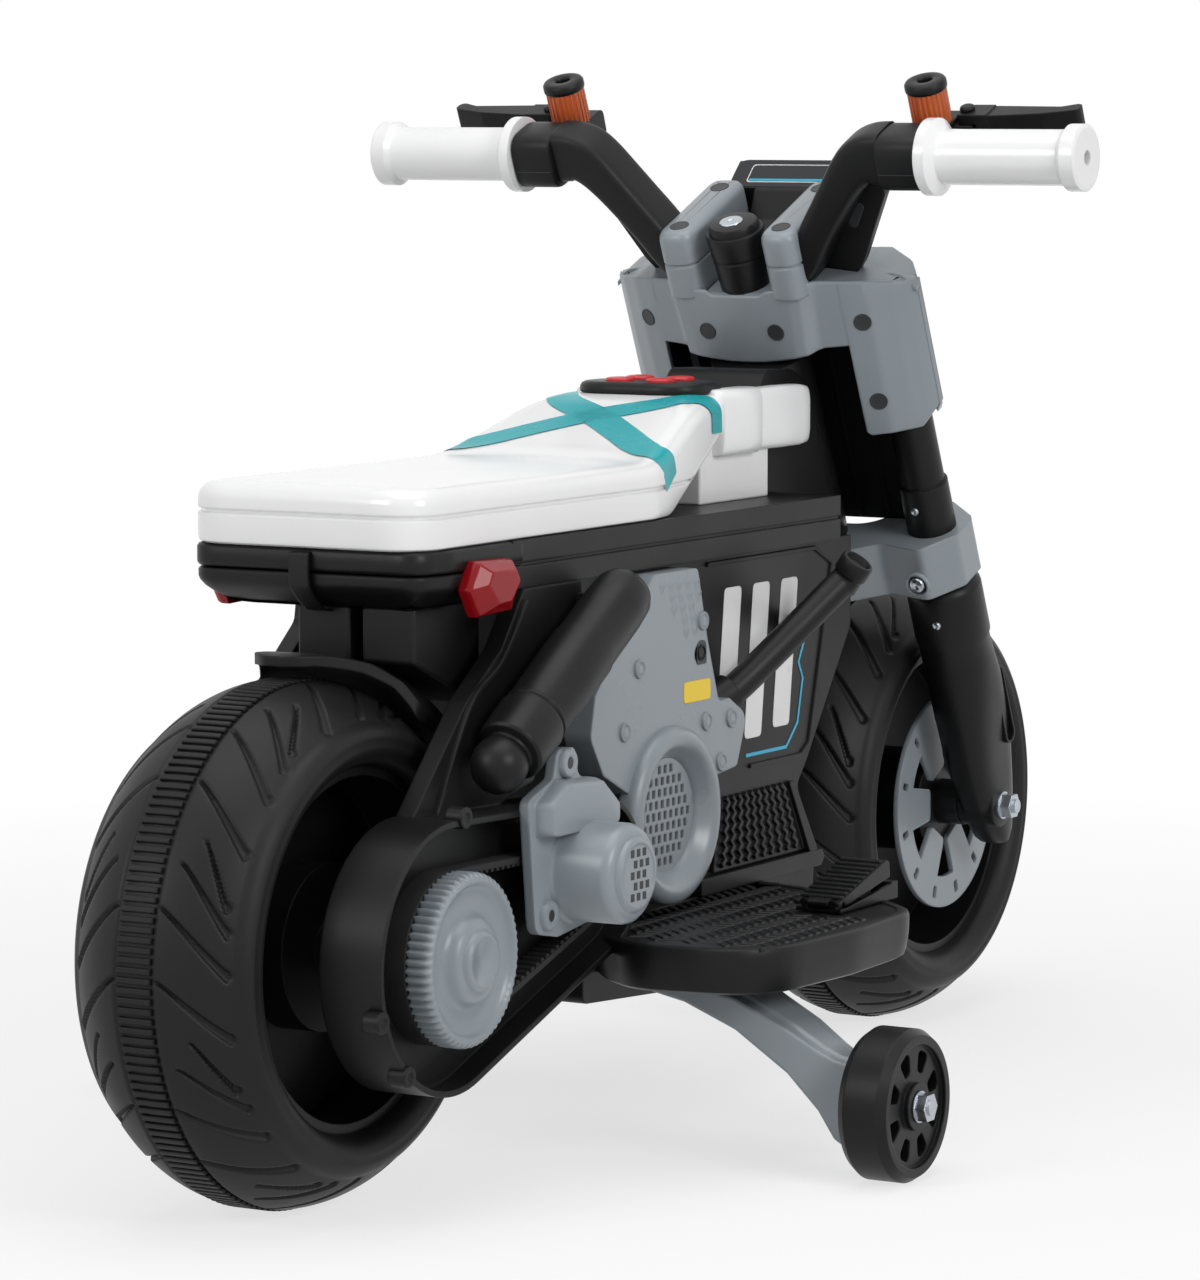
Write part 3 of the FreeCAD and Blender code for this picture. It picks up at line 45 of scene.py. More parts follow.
# The fork's rake and the front axle's place; the rear axle lies as far behind the origin.
rake = radians(24.0)
axle_x, axle_z = 313.5, 129.0
four_corners = ((-1, -1), (1, -1), (1, 1), (-1, 1))
LEFT, RIGHT, UP = (0, 1, 0), (0, -1, 0), (0, 0, 1)
up_fork = (-sin(rake), 0, cos(rake))
back_fork = (-cos(rake), 0, -sin(rake))


# Small shape helpers, all in millimetres: a solid is (corners, faces).
def fork(u, y, v):
    """Point of the steering assembly: u forward, y left, v up along the raked fork from the front axle."""
    return (axle_x + u * cos(rake) - v * sin(rake), y, axle_z + u * sin(rake) + v * cos(rake))


def joined(*solids):
    """Several solids as one."""
    corners, faces = [], []
    for more_corners, more_faces in solids:
        start = len(corners)
        corners.extend(more_corners)
        faces.extend(tuple(start + i for i in face) for face in more_faces)
    return corners, faces


def both_sides(solid):
    """A solid and its mirror image on the other side."""
    corners, faces = solid
    return joined(solid, ([(x, -y, z) for x, y, z in corners], faces))


def rounded(points, radius, steps=5):
    """Closed outline with every corner eased by the radius, or by the corner's own third value."""
    outline = []
    count = len(points)
    for i in range(count):
        here = np.array(points[i][:2], float)
        reach = points[i][2] if len(points[i]) > 2 else radius
        back = np.array(points[i - 1][:2], float) - here
        ahead = np.array(points[(i + 1) % count][:2], float) - here
        back_length, ahead_length = np.linalg.norm(back), np.linalg.norm(ahead)
        back, ahead = back / back_length, ahead / ahead_length
        half = acos(max(-1.0, min(1.0, float(back @ ahead)))) / 2
        run = min(reach / max(tan(half), 1e-6), 0.48 * back_length, 0.48 * ahead_length)
        start, end = here + back * run, here + ahead * run
        for k in range(steps + 1):
            t = k / steps
            outline.append(tuple((1 - t) ** 2 * start + 2 * t * (1 - t) * here + t * t * end))
    return outline


def prism(outline, place, near, far):
    """Outline carried from depth near to depth far; place turns (a, b, depth) into x, y, z."""
    count = len(outline)
    corners = [place(a, b, near) for a, b in outline] + [place(a, b, far) for a, b in outline]
    faces = [tuple(range(count)), tuple(range(count, 2 * count))]
    faces += [(i, (i + 1) % count, count + (i + 1) % count, count + i) for i in range(count)]
    return corners, faces


def to_left(a, b, d):
    """Outline in x and z, carried out to the left."""
    return (a, d, b)


def to_right(a, b, d):
    """Outline in x and z, carried out to the right."""
    return (a, -d, b)


def fork_front(a, b, d):
    """Outline across and up the fork, carried forward."""
    return fork(d, a, b)


def fork_side(a, b, d):
    """Outline forward and up the fork, carried out to the left."""
    return fork(a, d, b)


def full_turn(steps):
    """Even angles once round."""
    return np.linspace(0, 2 * pi, steps, endpoint=False)


def loft(loops, capped=True, closed=False):
    """Skin over loops of equal length; capped ends, or closed into a ring."""
    count = len(loops[0])
    corners = [tuple(p) for loop in loops for p in loop]
    faces = []
    rows = len(loops) if closed else len(loops) - 1
    for j in range(rows):
        a, b = j * count, ((j + 1) % len(loops)) * count
        faces += [(a + i, a + (i + 1) % count, b + (i + 1) % count, b + i) for i in range(count)]
    if capped and not closed:
        faces += [tuple(range(count)), tuple(range((len(loops) - 1) * count, len(loops) * count))]
    return corners, faces


def sheet(rows, closed=False):
    """Open skin over rows of points; closed joins the last row to the first."""
    count = len(rows[0])
    faces = []
    for j in range(len(rows) if closed else len(rows) - 1):
        a, b = j * count, ((j + 1) % len(rows)) * count
        faces += [(a + i, a + i + 1, b + i + 1, b + i) for i in range(count - 1)]
    return [tuple(p) for row in rows for p in row], faces


def turned(profile, origin, axis, steps=64, ring=False):
    """Profile of (radius, height) spun about an axis through the origin; a ring is open in the middle."""
    axis = Vector(axis).normalized()
    side = axis.orthogonal().normalized()
    if abs(axis.x) < 0.9:
        side = (Vector((1, 0, 0)) - axis * axis.x).normalized()
    other = axis.cross(side)
    origin = Vector(origin)
    loops = [[tuple(origin + axis * height + (side * cos(a) + other * sin(a)) * radius)
        for a in full_turn(steps)] for radius, height in profile]
    return loft(loops, closed=ring)


def swept(path, section, up=UP):
    """Section of (across, up) points carried along a path of points."""
    path = [Vector(p) for p in path]
    up = Vector(up)
    loops = []
    for i, p in enumerate(path):
        along = (path[min(i + 1, len(path) - 1)] - path[max(i - 1, 0)]).normalized()
        across = along.cross(up).normalized()
        rise = across.cross(along)
        loops.append([tuple(p + across * a + rise * b) for a, b in section])
    return loft(loops)


def round_section(radius, steps=24):
    """Circle as a section."""
    return [(radius * cos(a), radius * sin(a)) for a in full_turn(steps)]


def superellipse(half_a, half_b, power, steps=40):
    """Ellipse that squares up as the power grows."""
    loop = []
    for a in full_turn(steps):
        c, s = cos(a), sin(a)
        loop.append((half_a * copysign(abs(c) ** (2 / power), c), half_b * copysign(abs(s) ** (2 / power), s)))
    return loop


def curve(points, steps=8):
    """Smooth path through the points."""
    points = [np.array(p, float) for p in points]
    path = []
    for i in range(len(points) - 1):
        p0, p1, p2, p3 = points[max(i - 1, 0)], points[i], points[i + 1], points[min(i + 2, len(points) - 1)]
        for k in range(steps):
            t = k / steps
            square, cube = 2 * p0 - 5 * p1 + 4 * p2 - p3, 3 * p1 - p0 - 3 * p2 + p3
            path.append(tuple(0.5 * (2 * p1 + (p2 - p0) * t + square * t * t + cube * t ** 3)))
    path.append(tuple(points[-1]))
    return path


def heading(path, i):
    """Direction of a flat path at its point i."""
    ahead = np.array(path[min(i + 1, len(path) - 1)][:2], float) - np.array(path[max(i - 1, 0)][:2], float)
    return ahead / np.linalg.norm(ahead)


def run_along(points):
    """Distance of each point from the first, measured along the path."""
    return np.concatenate([[0], np.cumsum(np.linalg.norm(np.diff(points, axis=0), axis=1))])


def even(outline, count):
    """Closed outline resampled at even spacing."""
    points = np.array(outline + outline[:1])
    run = run_along(points)
    steps = np.linspace(0, run[-1], count, endpoint=False)
    return np.stack([np.interp(steps, run, points[:, k]) for k in (0, 1)], axis=1)


def inward_of(points):
    """Unit normals that point into a closed outline."""
    ahead = np.roll(points, -1, axis=0) - np.roll(points, 1, axis=0)
    inward = np.stack([-ahead[:, 1], ahead[:, 0]], axis=1)
    inward /= np.linalg.norm(inward, axis=1)[:, None]
    area = (points[:, 0] * np.roll(points[:, 1], -1) - points[:, 1] * np.roll(points[:, 0], -1)).sum()
    return -inward if area < 0 else inward


def inset_loops(outline, levels, hold=None):
    """Loops of an outline pulled in by (inset, height) levels; hold freezes the x of points it accepts."""
    points = np.array(outline)
    inward = inward_of(points)
    if hold:
        for k, p in enumerate(points):
            if hold(p):
                inward[k, 0] = 0
    return [[(p[0], p[1], z) for p in points + inward * inset] for inset, z in levels]


# Finishes.
def linear(hex_colour):
    """sRGB hex to linear RGBA."""
    channels = [int(hex_colour[i:i + 2], 16) / 255 for i in (1, 3, 5)]
    return tuple(c / 12.92 if c <= 0.04045 else ((c + 0.055) / 1.055) ** 2.4 for c in channels) + (1.0,)


def wire(tree, kind, settings=None, inputs=None):
    """Add one shader node; inputs are plain socket values or (node, output) links."""
    made = tree.nodes.new("ShaderNode" + kind)
    for key, value in (settings or {}).items():
        setattr(made, key, value)
    for key, value in (inputs or {}).items():
        if isinstance(value, tuple) and isinstance(value[0], bpy.types.Node):
            tree.links.new(value[0].outputs[value[1]], made.inputs[key])
        else:
            made.inputs[key].default_value = value
    return made


def surface(name, slot, light_hex, dark_hex, roughness, grain_mm, grain_depth_mm, mottle_mm,
        edge_mm=0.8, **principled):
    """One made surface: mottled colour, uneven gloss, fine grain and edges eased by the mould or the plating."""
    made = bpy.data.materials.new(name)
    made.use_nodes = True
    tree = made.node_tree
    tree.nodes.clear()
    where = wire(tree, "TexCoord")
    cloud = wire(tree, "TexNoise", None, {"Vector": (where, "Object"),
        "Scale": 1 / (mottle_mm * MM), "Detail": 4.0})
    grain = wire(tree, "TexNoise", None, {"Vector": (where, "Object"),
        "Scale": 1 / (grain_mm * MM), "Detail": 2.0})
    tint = wire(tree, "Mix", {"data_type": "RGBA"},
        {"Factor": (cloud, "Fac"), "A": linear(dark_hex), "B": linear(light_hex)})
    gloss = wire(tree, "MapRange", None, {"Value": (cloud, "Fac"), "From Min": 0.3, "From Max": 0.7,
        "To Min": roughness[0], "To Max": roughness[1]})
    edge = wire(tree, "Bevel", {"samples": 4}, {"Radius": edge_mm * MM})
    relief = wire(tree, "Bump", None, {"Height": (grain, "Fac"), "Distance": grain_depth_mm * MM,
        "Strength": 1.0, "Normal": (edge, "Normal")})
    body = wire(tree, "BsdfPrincipled", None,
        {"Base Color": (tint, 2), "Roughness": (gloss, "Result"), "Normal": (relief, "Normal")})
    for key, value in principled.items():
        body.inputs[key.replace("_", " ")].default_value = value
    wire(tree, "OutputMaterial", None, {"Surface": (body, "BSDF")})
    return made


# Blow-moulded polyethylene tyre: matt, a little waxy, drawn grain coarser than the real 0.3 mm to be seen.
tyre_pe = surface("blow_moulded_polyethylene_tyre", "tyre_plastic", "#1b1b1c", "#131314", (0.42, 0.54), 1.2,
    0.05, 40, Specular_IOR_Level=0.22)
# Injection-moulded polypropylene in black, spark-eroded mould: even satin black with a soft sheen.
black_pp = surface("moulded_polypropylene_black", "black_plastic", "#161617", "#0f0f10", (0.34, 0.46), 0.9,
    0.03, 60, edge_mm=1.4, Specular_IOR_Level=0.22)
# Injection-moulded ABS in silver grey with fine flake: cool grey, satin, slightly pearly.
grey_abs = surface("moulded_abs_silver_grey", "grey_plastic", "#8e969c", "#878f95", (0.27, 0.35), 0.7, 0.008,
    50, edge_mm=1.8, IOR=1.54)
# Injection-moulded ABS in white, polished mould: clean gloss with faint sink marks.
white_abs = surface("moulded_abs_white_gloss", "white_plastic", "#f3f3f3", "#eeeeef", (0.16, 0.24), 6.0, 0.02,
    90, edge_mm=1.2, IOR=1.54)
# Bright zinc-plated steel: bluish silver with a soft spread of gloss from the barrel plating.
zinc = surface("zinc_plated_steel", "zinc_steel", "#c3c8ce", "#a9afb7", (0.22, 0.38), 1.0, 0.01, 6,
    edge_mm=0.4, Metallic=1.0)
# Moulded ABS push buttons in red, satin.
red_abs = surface("moulded_abs_red", "red_plastic", "#d31f28", "#c21a23", (0.28, 0.38), 0.8, 0.01, 20, IOR=1.54)
# Tinted polycarbonate lens, polished: deep red over a dark back, bright only at its facets.
red_pc = surface("tinted_polycarbonate_red", "red_lens", "#9c0f18", "#7e0a12", (0.08, 0.16), 3.0, 0.01, 30,
    edge_mm=0.5, IOR=1.58, Specular_IOR_Level=0.18)
# Tinted polycarbonate blinker lens, moulded with ribs: warm orange, milky.
amber_pc = surface("tinted_polycarbonate_amber", "amber_lens", "#ee8048", "#d9602c", (0.16, 0.26), 2.0, 0.01,
    30, edge_mm=0.4, IOR=1.58, Transmission_Weight=0.4)
# Neoprene toothed belt: dull black with fabric-backed teeth.
belt_rubber = surface("neoprene_belt", "belt_rubber", "#1d1d1d", "#151515", (0.62, 0.78), 0.8, 0.06, 12)
# Plain moulded plastic of the parts inside the shell: dull dark grey; also painted shade for holes, slots and vents.
inner_abs_and_hole_shade = surface("moulded_abs_inner_and_hole_shade", "inner_plastic", "#2b2d30", "#222427", (0.45, 0.60), 0.8,
    0.02, 30, IOR=1.54)
# Drawn steel motor can: grey metal with drawing haze.
motor_steel = surface("drawn_steel_can", "motor_steel", "#9b9da0", "#86888c", (0.30, 0.45), 0.9,
    0.01, 10, Metallic=1.0)
# Printed vinyl film: flat even colour with a light gloss.
teal_vinyl = surface("printed_vinyl_teal", "white_plastic", "#00a9b0", "#009fa7", (0.24, 0.32), 1.5, 0.004, 40)
white_vinyl = surface("printed_vinyl_white", "white_plastic", "#ececec", "#e2e2e2",
    (0.26, 0.34), 1.5, 0.004, 40)
cyan_vinyl = surface("printed_vinyl_cyan", "white_plastic", "#1ab0d4", "#14a3c7", (0.26, 0.34), 1.5, 0.004, 40)
yellow_vinyl = surface("printed_vinyl_yellow", "white_plastic", "#f6d20a", "#ebc600",
    (0.26, 0.34), 1.5, 0.004, 40)
# Acrylic display window, polished and smoked: near black and glossy.
smoked_acrylic = surface("smoked_acrylic", "black_plastic", "#10151c", "#0b0f14", (0.05, 0.09), 4.0,
    0.003, 30, IOR=1.49)

finish_of_slot = {"tyre_plastic": tyre_pe, "black_plastic": black_pp, "grey_plastic": grey_abs,
    "white_plastic": white_abs, "zinc_steel": zinc, "red_plastic": red_abs, "red_lens": red_pc,
    "amber_lens": amber_pc, "belt_rubber": belt_rubber, "inner_plastic": inner_abs_and_hole_shade, "motor_steel": motor_steel}
for subpart in frame["record"]["subparts"]:
    for slot in nodes[subpart["node"]].material_slots:
        slot.material = finish_of_slot[subpart["material_slot"]]


def piece(name, solid, finish, body, replaces=(), ease=0.0, crease=32.0):
    """New mesh from millimetre corners: smooth up to the crease angle, edges eased by a bevel of that width."""
    corners, faces = solid
    mesh = bpy.data.meshes.new(name)
    mesh.from_pydata([tuple(c * MM for c in corner) for corner in corners], [], faces)
    shape = bmesh.new()
    shape.from_mesh(mesh)
    bmesh.ops.remove_doubles(shape, verts=shape.verts, dist=2e-6)
    bmesh.ops.recalc_face_normals(shape, faces=shape.faces)
    shape.to_mesh(mesh)
    shape.free()
    mesh.shade_smooth()
    mesh.set_sharp_from_angle(angle=radians(crease))
    mesh.materials.append(finish)
    made = bpy.data.objects.new(name, mesh)
    bpy.context.scene.collection.objects.link(made)
    if ease:
        bevel = made.modifiers.new("eased_edges", "BEVEL")
        bevel.width = ease * MM
        bevel.segments = 3
        bevel.limit_method = "ANGLE"
        bevel.angle_limit = radians(crease)
    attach(made, body)
    if replaces:
        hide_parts(*replaces)
    return made


def arc_through(a, b, c, steps):
    """Points on the circle through three points of a section, from a to c by way of b."""
    (ax, ay), (bx, by), (cx, cy) = a, b, c
    d = 2 * (ax * (by - cy) + bx * (cy - ay) + cx * (ay - by))
    ux = ((ax ** 2 + ay ** 2) * (by - cy) + (bx ** 2 + by ** 2) * (cy - ay) + (cx ** 2 + cy ** 2) * (ay - by)) / d
    uy = ((ax ** 2 + ay ** 2) * (cx - bx) + (bx ** 2 + by ** 2) * (ax - cx) + (cx ** 2 + cy ** 2) * (bx - ax)) / d
    radius = hypot(ax - ux, ay - uy)
    angles = [atan2(y - uy, x - ux) for x, y in (a, b, c)]
    sweep = (angles[2] - angles[0]) % (2 * pi)
    if (angles[1] - angles[0]) % (2 * pi) > sweep:
        sweep -= 2 * pi
    return [(ux + radius * cos(angles[0] + sweep * t), uy + radius * sin(angles[0] + sweep * t))
        for t in np.linspace(0, 1, steps)]


# Tyres: crown with a ladder band, slanted tapering grooves on both flanks; (from the middle, radius).
tyre_lip, tyre_bulge, tyre_shoulder = (40.0, 89.0), (51.0, 99.0), (44.0, 110.0)
tyre_flank, tyre_crown = (25.5, 123.5), (0.0, 129.0)
tyre_rim_edge = [(39.0, 86.5), (36.0, 86.0)]
tyre_steps = 1080
band_half, band_edge, band_sunk, band_edge_sunk = 10.3, 1.0, 1.4, 0.6
wall_line_from, wall_line_to, wall_line_sunk = 60.5, 62.2, 0.9
groove_sets, groove_sunk, groove_slant, groove_bend = 8, 2.3, radians(14.0), 1.15
groove_narrow, groove_widening, groove_brow, groove_wall = 0.7, 1.5, 0.5, 0.9
groove_lean = radians(40)
# Each groove of a set: start round the tyre in degrees, first and last distance from the crown.
grooves = ((0.0, 12.5, 46.0), (13.5, 27.0, 43.0), (19.5, 19.0, 45.0), (29.5, 12.5, 46.0))
rung_count = 168
# A rung from its foot to its top: radius, half length round the tyre, half width.
rung_levels = ((127.2, 1.6, 9.4), (128.6, 1.45, 9.2), (129.0, 1.1, 8.7))


def tyre(name, centre_x, node, body):
    """Tread skin with its grooves, and the ladder of rungs on the crown."""
    half = arc_through(tyre_crown, tyre_flank, tyre_shoulder, 46)
    half = np.array(half + arc_through(tyre_shoulder, tyre_bulge, tyre_lip, 18)[1:] + tyre_rim_edge)
    run = run_along(half)
    slope = np.gradient(half, axis=0)
    normal = np.stack([-slope[:, 1], slope[:, 0]], axis=1)
    normal /= np.linalg.norm(normal, axis=1)[:, None]
    angle = full_turn(tyre_steps)
    depth = np.zeros((tyre_steps, len(half)))
    depth[:, run < band_half] = band_sunk
    depth[:, (run >= band_half) & (run < band_half + band_edge)] = band_edge_sunk
    depth[:, (run > wall_line_from) & (run < wall_line_to)] = wall_line_sunk
    period = 2 * pi / groove_sets
    for start_angle, first, last in grooves:
        along = np.clip((run - first) / (last - first), 0, 1)
        line = -radians(start_angle) - groove_slant * along ** groove_bend
        width = groove_narrow + groove_widening * along
        off = (angle[:, None] - line[None, :] + period / 2) % period - period / 2
        away = np.abs(off) * half[None, :, 1] * cos(groove_lean)
        beyond = np.clip(np.maximum(first - run, run - last), 0, None)
        away = np.hypot(away, beyond[None, :])
        wall = np.clip((width[None, :] + groove_brow - away) / groove_wall, 0, 1)
        depth = np.maximum(depth, groove_sunk * wall)
    rows = []
    for k, a in enumerate(angle):
        section = half - normal * depth[k][:, None] * np.sign(normal[0, 1])
        across = [(-y, r) for y, r in section[::-1]] + [(y, r) for y, r in section[1:]]
        rows.append([(centre_x - r * cos(a), y, axle_z + r * sin(a)) for y, r in across])
    piece(name, sheet(rows, closed=True), tyre_pe, body, (node,), crease=50)
    rungs = []
    for k in range(rung_count):
        rung = []
        for radius, half_arc, half_width in rung_levels:
            loop = []
            for arc, y in four_corners:
                a = 2 * pi * k / rung_count + arc * half_arc / radius
                loop.append((centre_x - radius * cos(a), y * half_width, axle_z + radius * sin(a)))
            rung.append(loop)
        rungs.append(loft(rung))
    piece(name + "_ladder", joined(*rungs), tyre_pe, body)


tyre("rear_tyre_tread", -axle_x, "rear_tyre", "rear_wheel")
tyre("front_tyre_tread", axle_x, "front_tyre", "front_wheel")

# Seat: rounded pan and cover with a seam groove, hump in front.
seat_half, seat_seam, seat_round, seat_roof_blend = 69, 336.0, 9.0, 4.0


def seat_width(x):
    """Half width of the seat."""
    return float(np.interp(x, [-92, -70, -50, 30, 46, 78], [69, 67.8, 64.6, 48.3, 45.2, 42]))


def seat_height(x):
    """Height along the middle, eased where the hump begins."""
    rise = np.clip((x + 66 + np.linspace(-16, 16, 9)) / 80, 0, 1).mean()
    return 351 + 28 * float(rise)


def seat_top(x, y):
    """Height of the cover: the hump's rounded roof blended into the flat of the seat, lower to the sides."""
    roof = float(np.interp(abs(y), [0, 32, 38, 42, 46, 80], [381, 380.6, 379.4, 377, 374, 357]))
    height = seat_height(x)
    mix = min(max(0.5 + 0.5 * (roof - height) / seat_roof_blend, 0), 1)
    rounding = seat_roof_blend * mix * (1 - mix) * 0.5
    return roof * (1 - mix) + height * mix - rounding - 1.5 * (abs(y) / seat_half) ** 2


def seat_bottom(x):
    """Height of the lower edge, which lifts off the body at the front."""
    return float(np.interp(x, [-300, -47, -41, 43, 49, 78], [320, 320, 321.4, 357, 358, 358]))


def seat_skin():
    """Pan and cover as one skin, parted by the seam groove."""
    half = [(-300, seat_half, 26), (-70, seat_half, 50), (46, 45, 30), (78, 42, 11)]
    plan = half + [(x, -y, r) for x, y, r in reversed(half)]
    outline = even(rounded(plan, 10, 10), 300)
    inward = inward_of(outline)
    low = np.array([seat_bottom(p[0]) for p in outline])
    loops = []

    def level(inset, z):
        points = outline + inward * inset
        loops.append([(p[0], p[1], h) for p, h in zip(points, z)])

    crest = np.array([seat_top(*p) for p in outline + inward * seat_round])
    level(10, low)
    level(2.5, low)
    level(0.6, low + 1.0)
    level(0, low + 3.0)
    for inset, offset in ((0, -1.6), (0.5, -1.1), (1.6, -0.7), (1.6, 0.7), (0.5, 1.1), (0, 1.6)):
        level(inset, np.maximum(low + 3.2, seat_seam + offset))
    for k in range(9):
        a = radians(90 * k / 8)
        level(seat_round * (1 - cos(a)), np.maximum(low + 4, crest - seat_round * (1 - sin(a))))
    edge = outline + inward * seat_round
    spine = np.stack([np.clip(edge[:, 0], -250, 46), np.zeros(len(edge))], axis=1)
    for f in np.linspace(0.97, 0.0, 32):
        points = spine + (edge - spine) * f
        loops.append([(p[0], p[1], seat_top(p[0], p[1])) for p in points])
    return loft(loops, capped=False)


piece("seat_shell", seat_skin(), white_abs, "frame", ("seat_top", "seat_base"), crease=40)


def seat_film(path, half_width, lift=0.6):
    """Film along a path of (x, distance across measured over the seat edge and down its side)."""
    def point(x, across):
        side = -1 if across < 0 else 1
        flat = seat_width(x) - seat_round
        bend = seat_round * pi / 2
        reach = abs(across)
        crest = seat_top(x, flat)
        if reach <= flat:
            return (x, across, seat_top(x, across) + lift)
        if reach <= flat + bend:
            a = (reach - flat) / seat_round
            return (x, side * (flat + (seat_round + lift) * sin(a)),
                crest - seat_round + (seat_round + lift) * cos(a))
        return (x, side * (seat_width(x) + lift), crest - seat_round - (reach - flat - bend))

    path = curve(path, 14)
    rows = []
    for i, p in enumerate(path):
        ahead = heading(path, i)
        rows.append([point(p[0] - ahead[1] * w, p[1] + ahead[0] * w)
            for w in np.linspace(-half_width, half_width, 13)])
    return sheet(rows)


stripe_half = 8.6
stripe = seat_film([(-45, -79), (-48, -72), (-55, -60), (-51, -49), (-35, -28), (-17, -4), (-2, 20), (8, 32),
    (22, 41), (31, 50), (33, 63)], stripe_half)
piece("seat_stripes", both_sides(stripe), teal_vinyl, "frame")

# Seat nose: collar and rounded prong on each side, block under them.
prong_y, prong_z = 37.0, 363.0
prong_stations = ((44, 7.6, 16), (44.6, 9.4, 17.4), (46, 10, 18), (86, 9.6, 18), (87.6, 9.2, 17.4), (88, 7.4, 16.6),
    (118, 7.2, 17), (140, 7.0, 16.8), (148, 6.4, 15.8), (151.5, 4.8, 13), (152.5, 2.0, 9))
prong = [[(x, prong_y + a, prong_z + b) for a, b in superellipse(wide, tall, 5)] for x, wide, tall in prong_stations]
nose_block = prism(rounded([(31, 320), (108, 320), (108, 350), (80, 350), (79, 357.6), (46, 357.6), (31, 351)],
    1.5), to_left, -39, 39)
piece("seat_nose_shell", both_sides(loft(prong)), white_abs, "frame", ("seat_nose",), crease=40)
piece("seat_nose_block", nose_block, white_abs, "frame", ("seat_nose",), ease=2.0, crease=40)

# Push-button pad: rounded plate with a well for each button.
pad_plan = even(rounded([(20, -38), (72, -38), (72, 38), (20, 38)], 25, 12), 120)
pad_loops = inset_loops(pad_plan, [(1.2, 378.6), (0.2, 379.4), (0, 380.6), (0.2, 382.4), (1.2, 384),
    (3, 384.8), (6, 385)])
button_places = [(46 + i * 11, j * 12.5) for i in (-1, 1) for j in (-1, 1)]
well_rims = [[(x + 8.2 * cos(a), y + 8.2 * sin(a), 385) for a in full_turn(40)] for x, y in button_places]
pad_face = [[Vector(p) for p in loop] for loop in [pad_loops[-1]] + well_rims]
pad_top = ([tuple(p) for loop in pad_face for p in loop], [tuple(t) for t in tessellate_polygon(pad_face)])
pad_wells = [loft([rim, [(x, y, z - 5) for x, y, z in rim]], capped=False) for rim in well_rims]
piece("button_pad_shell", joined(loft(pad_loops, capped=False), pad_top, *pad_wells), black_pp, "frame",
    ("button_pad",), crease=40)

# Push buttons: low domed caps.
for number, (x, y) in enumerate(button_places, 1):
    button = turned([(7.8, 379), (7.8, 386.0), (7.2, 386.7), (5.4, 387.1), (2.5, 387.3), (0.01, 387.3)],
        (x, y, 0), UP, 40)
    piece(f"button_{number}_cap", button, red_abs, f"push_button_{number}", (f"button_{number}",))

# Tray and lid: lipped lid over a tucked-under tray, strap at the back.
tray_plan = even(rounded([(-297, -65, 24), (-272, -70.4, 30), (-205, -70.4, 1), (-205, 70.4, 1),
    (-272, 70.4, 30), (-297, 65, 24)], 4, 10), 260)


def front_end(p):
    """The end that butts against the body beam."""
    return p[0] > -206.5


lid_levels = [(12, 320), (3, 320), (1, 319.4), (0, 318), (0, 310.6), (0.7, 309.2), (2, 308.4), (6, 308.3)]
tray_levels = [(6, 308), (1.6, 307.8), (0.6, 306.8), (0.6, 303.5), (1.4, 301.5), (4, 298.6), (9, 295.2),
    (15, 292.2), (20, 290.6), (28, 290)]
piece("tray_lid_shell", loft(inset_loops(tray_plan, lid_levels, front_end)), black_pp, "frame",
    ("tray_lid",), crease=40)
strap_path = [(-285, 0, 318.6), (-297.6, 0, 318), (-299.3, 0, 315), (-299.3, 0, 304), (-297, 0, 299),
    (-291, 0, 293.5), (-283, 0, 288.8), (-276, 0, 288.6)]
strap_section = ((0, -5.5, 0), (2.4, -5.5, -0.6), (2.4, 5.5, -0.6), (0, 5.5, 0))
strap = loft([[(q[0] + a - 1.0, b, q[2] + c) for a, b, c in strap_section] for q in curve(strap_path, 6)])
piece("tray_shell", joined(loft(inset_loops(tray_plan, tray_levels, front_end)), strap), black_pp, "frame",
    ("tray",), crease=40)

# Tail lights: cut gem.
gem_back = [(-266, 300), (-258, 313.5), (-226, 313), (-219, 301), (-226, 287), (-257, 286)]
gem_mid = [(-265, 300), (-257.5, 312.5), (-226.5, 312), (-220, 301), (-227, 288), (-256.5, 287)]
gem_face = [(-257, 302), (-253, 308), (-231, 307.5), (-227.5, 302), (-236, 293), (-247, 292.5)]
gem = loft([[(x, 69, z) for x, z in gem_back], [(x, 74, z) for x, z in gem_back],
    [(x, 76.5, z) for x, z in gem_mid], [(x, 82, z) for x, z in gem_face]])
piece("tail_light_gems", both_sides(gem), red_pc, "frame", ("tail_lights",), ease=0.7, crease=12)

# Grey side panel dress: speaker ring, bosses, diamond field, plain yellow label.
speaker_x, speaker_z, panel_face = -71.0, 168.0, 78.0
ring_section = [(46.4, -5), (46.4, 1.2), (45.6, 3.9), (43.4, 5.9), (40.4, 6.5), (37.4, 5.7), (35.2, 3.4),
    (31.5, -0.6), (29.6, -2.9), (29.6, -5)]


def on_panel(profile, x, z, steps=40, ring=False):
    """Turned piece on the left panel's face."""
    return turned(profile, (x, panel_face, z), LEFT, steps, ring)


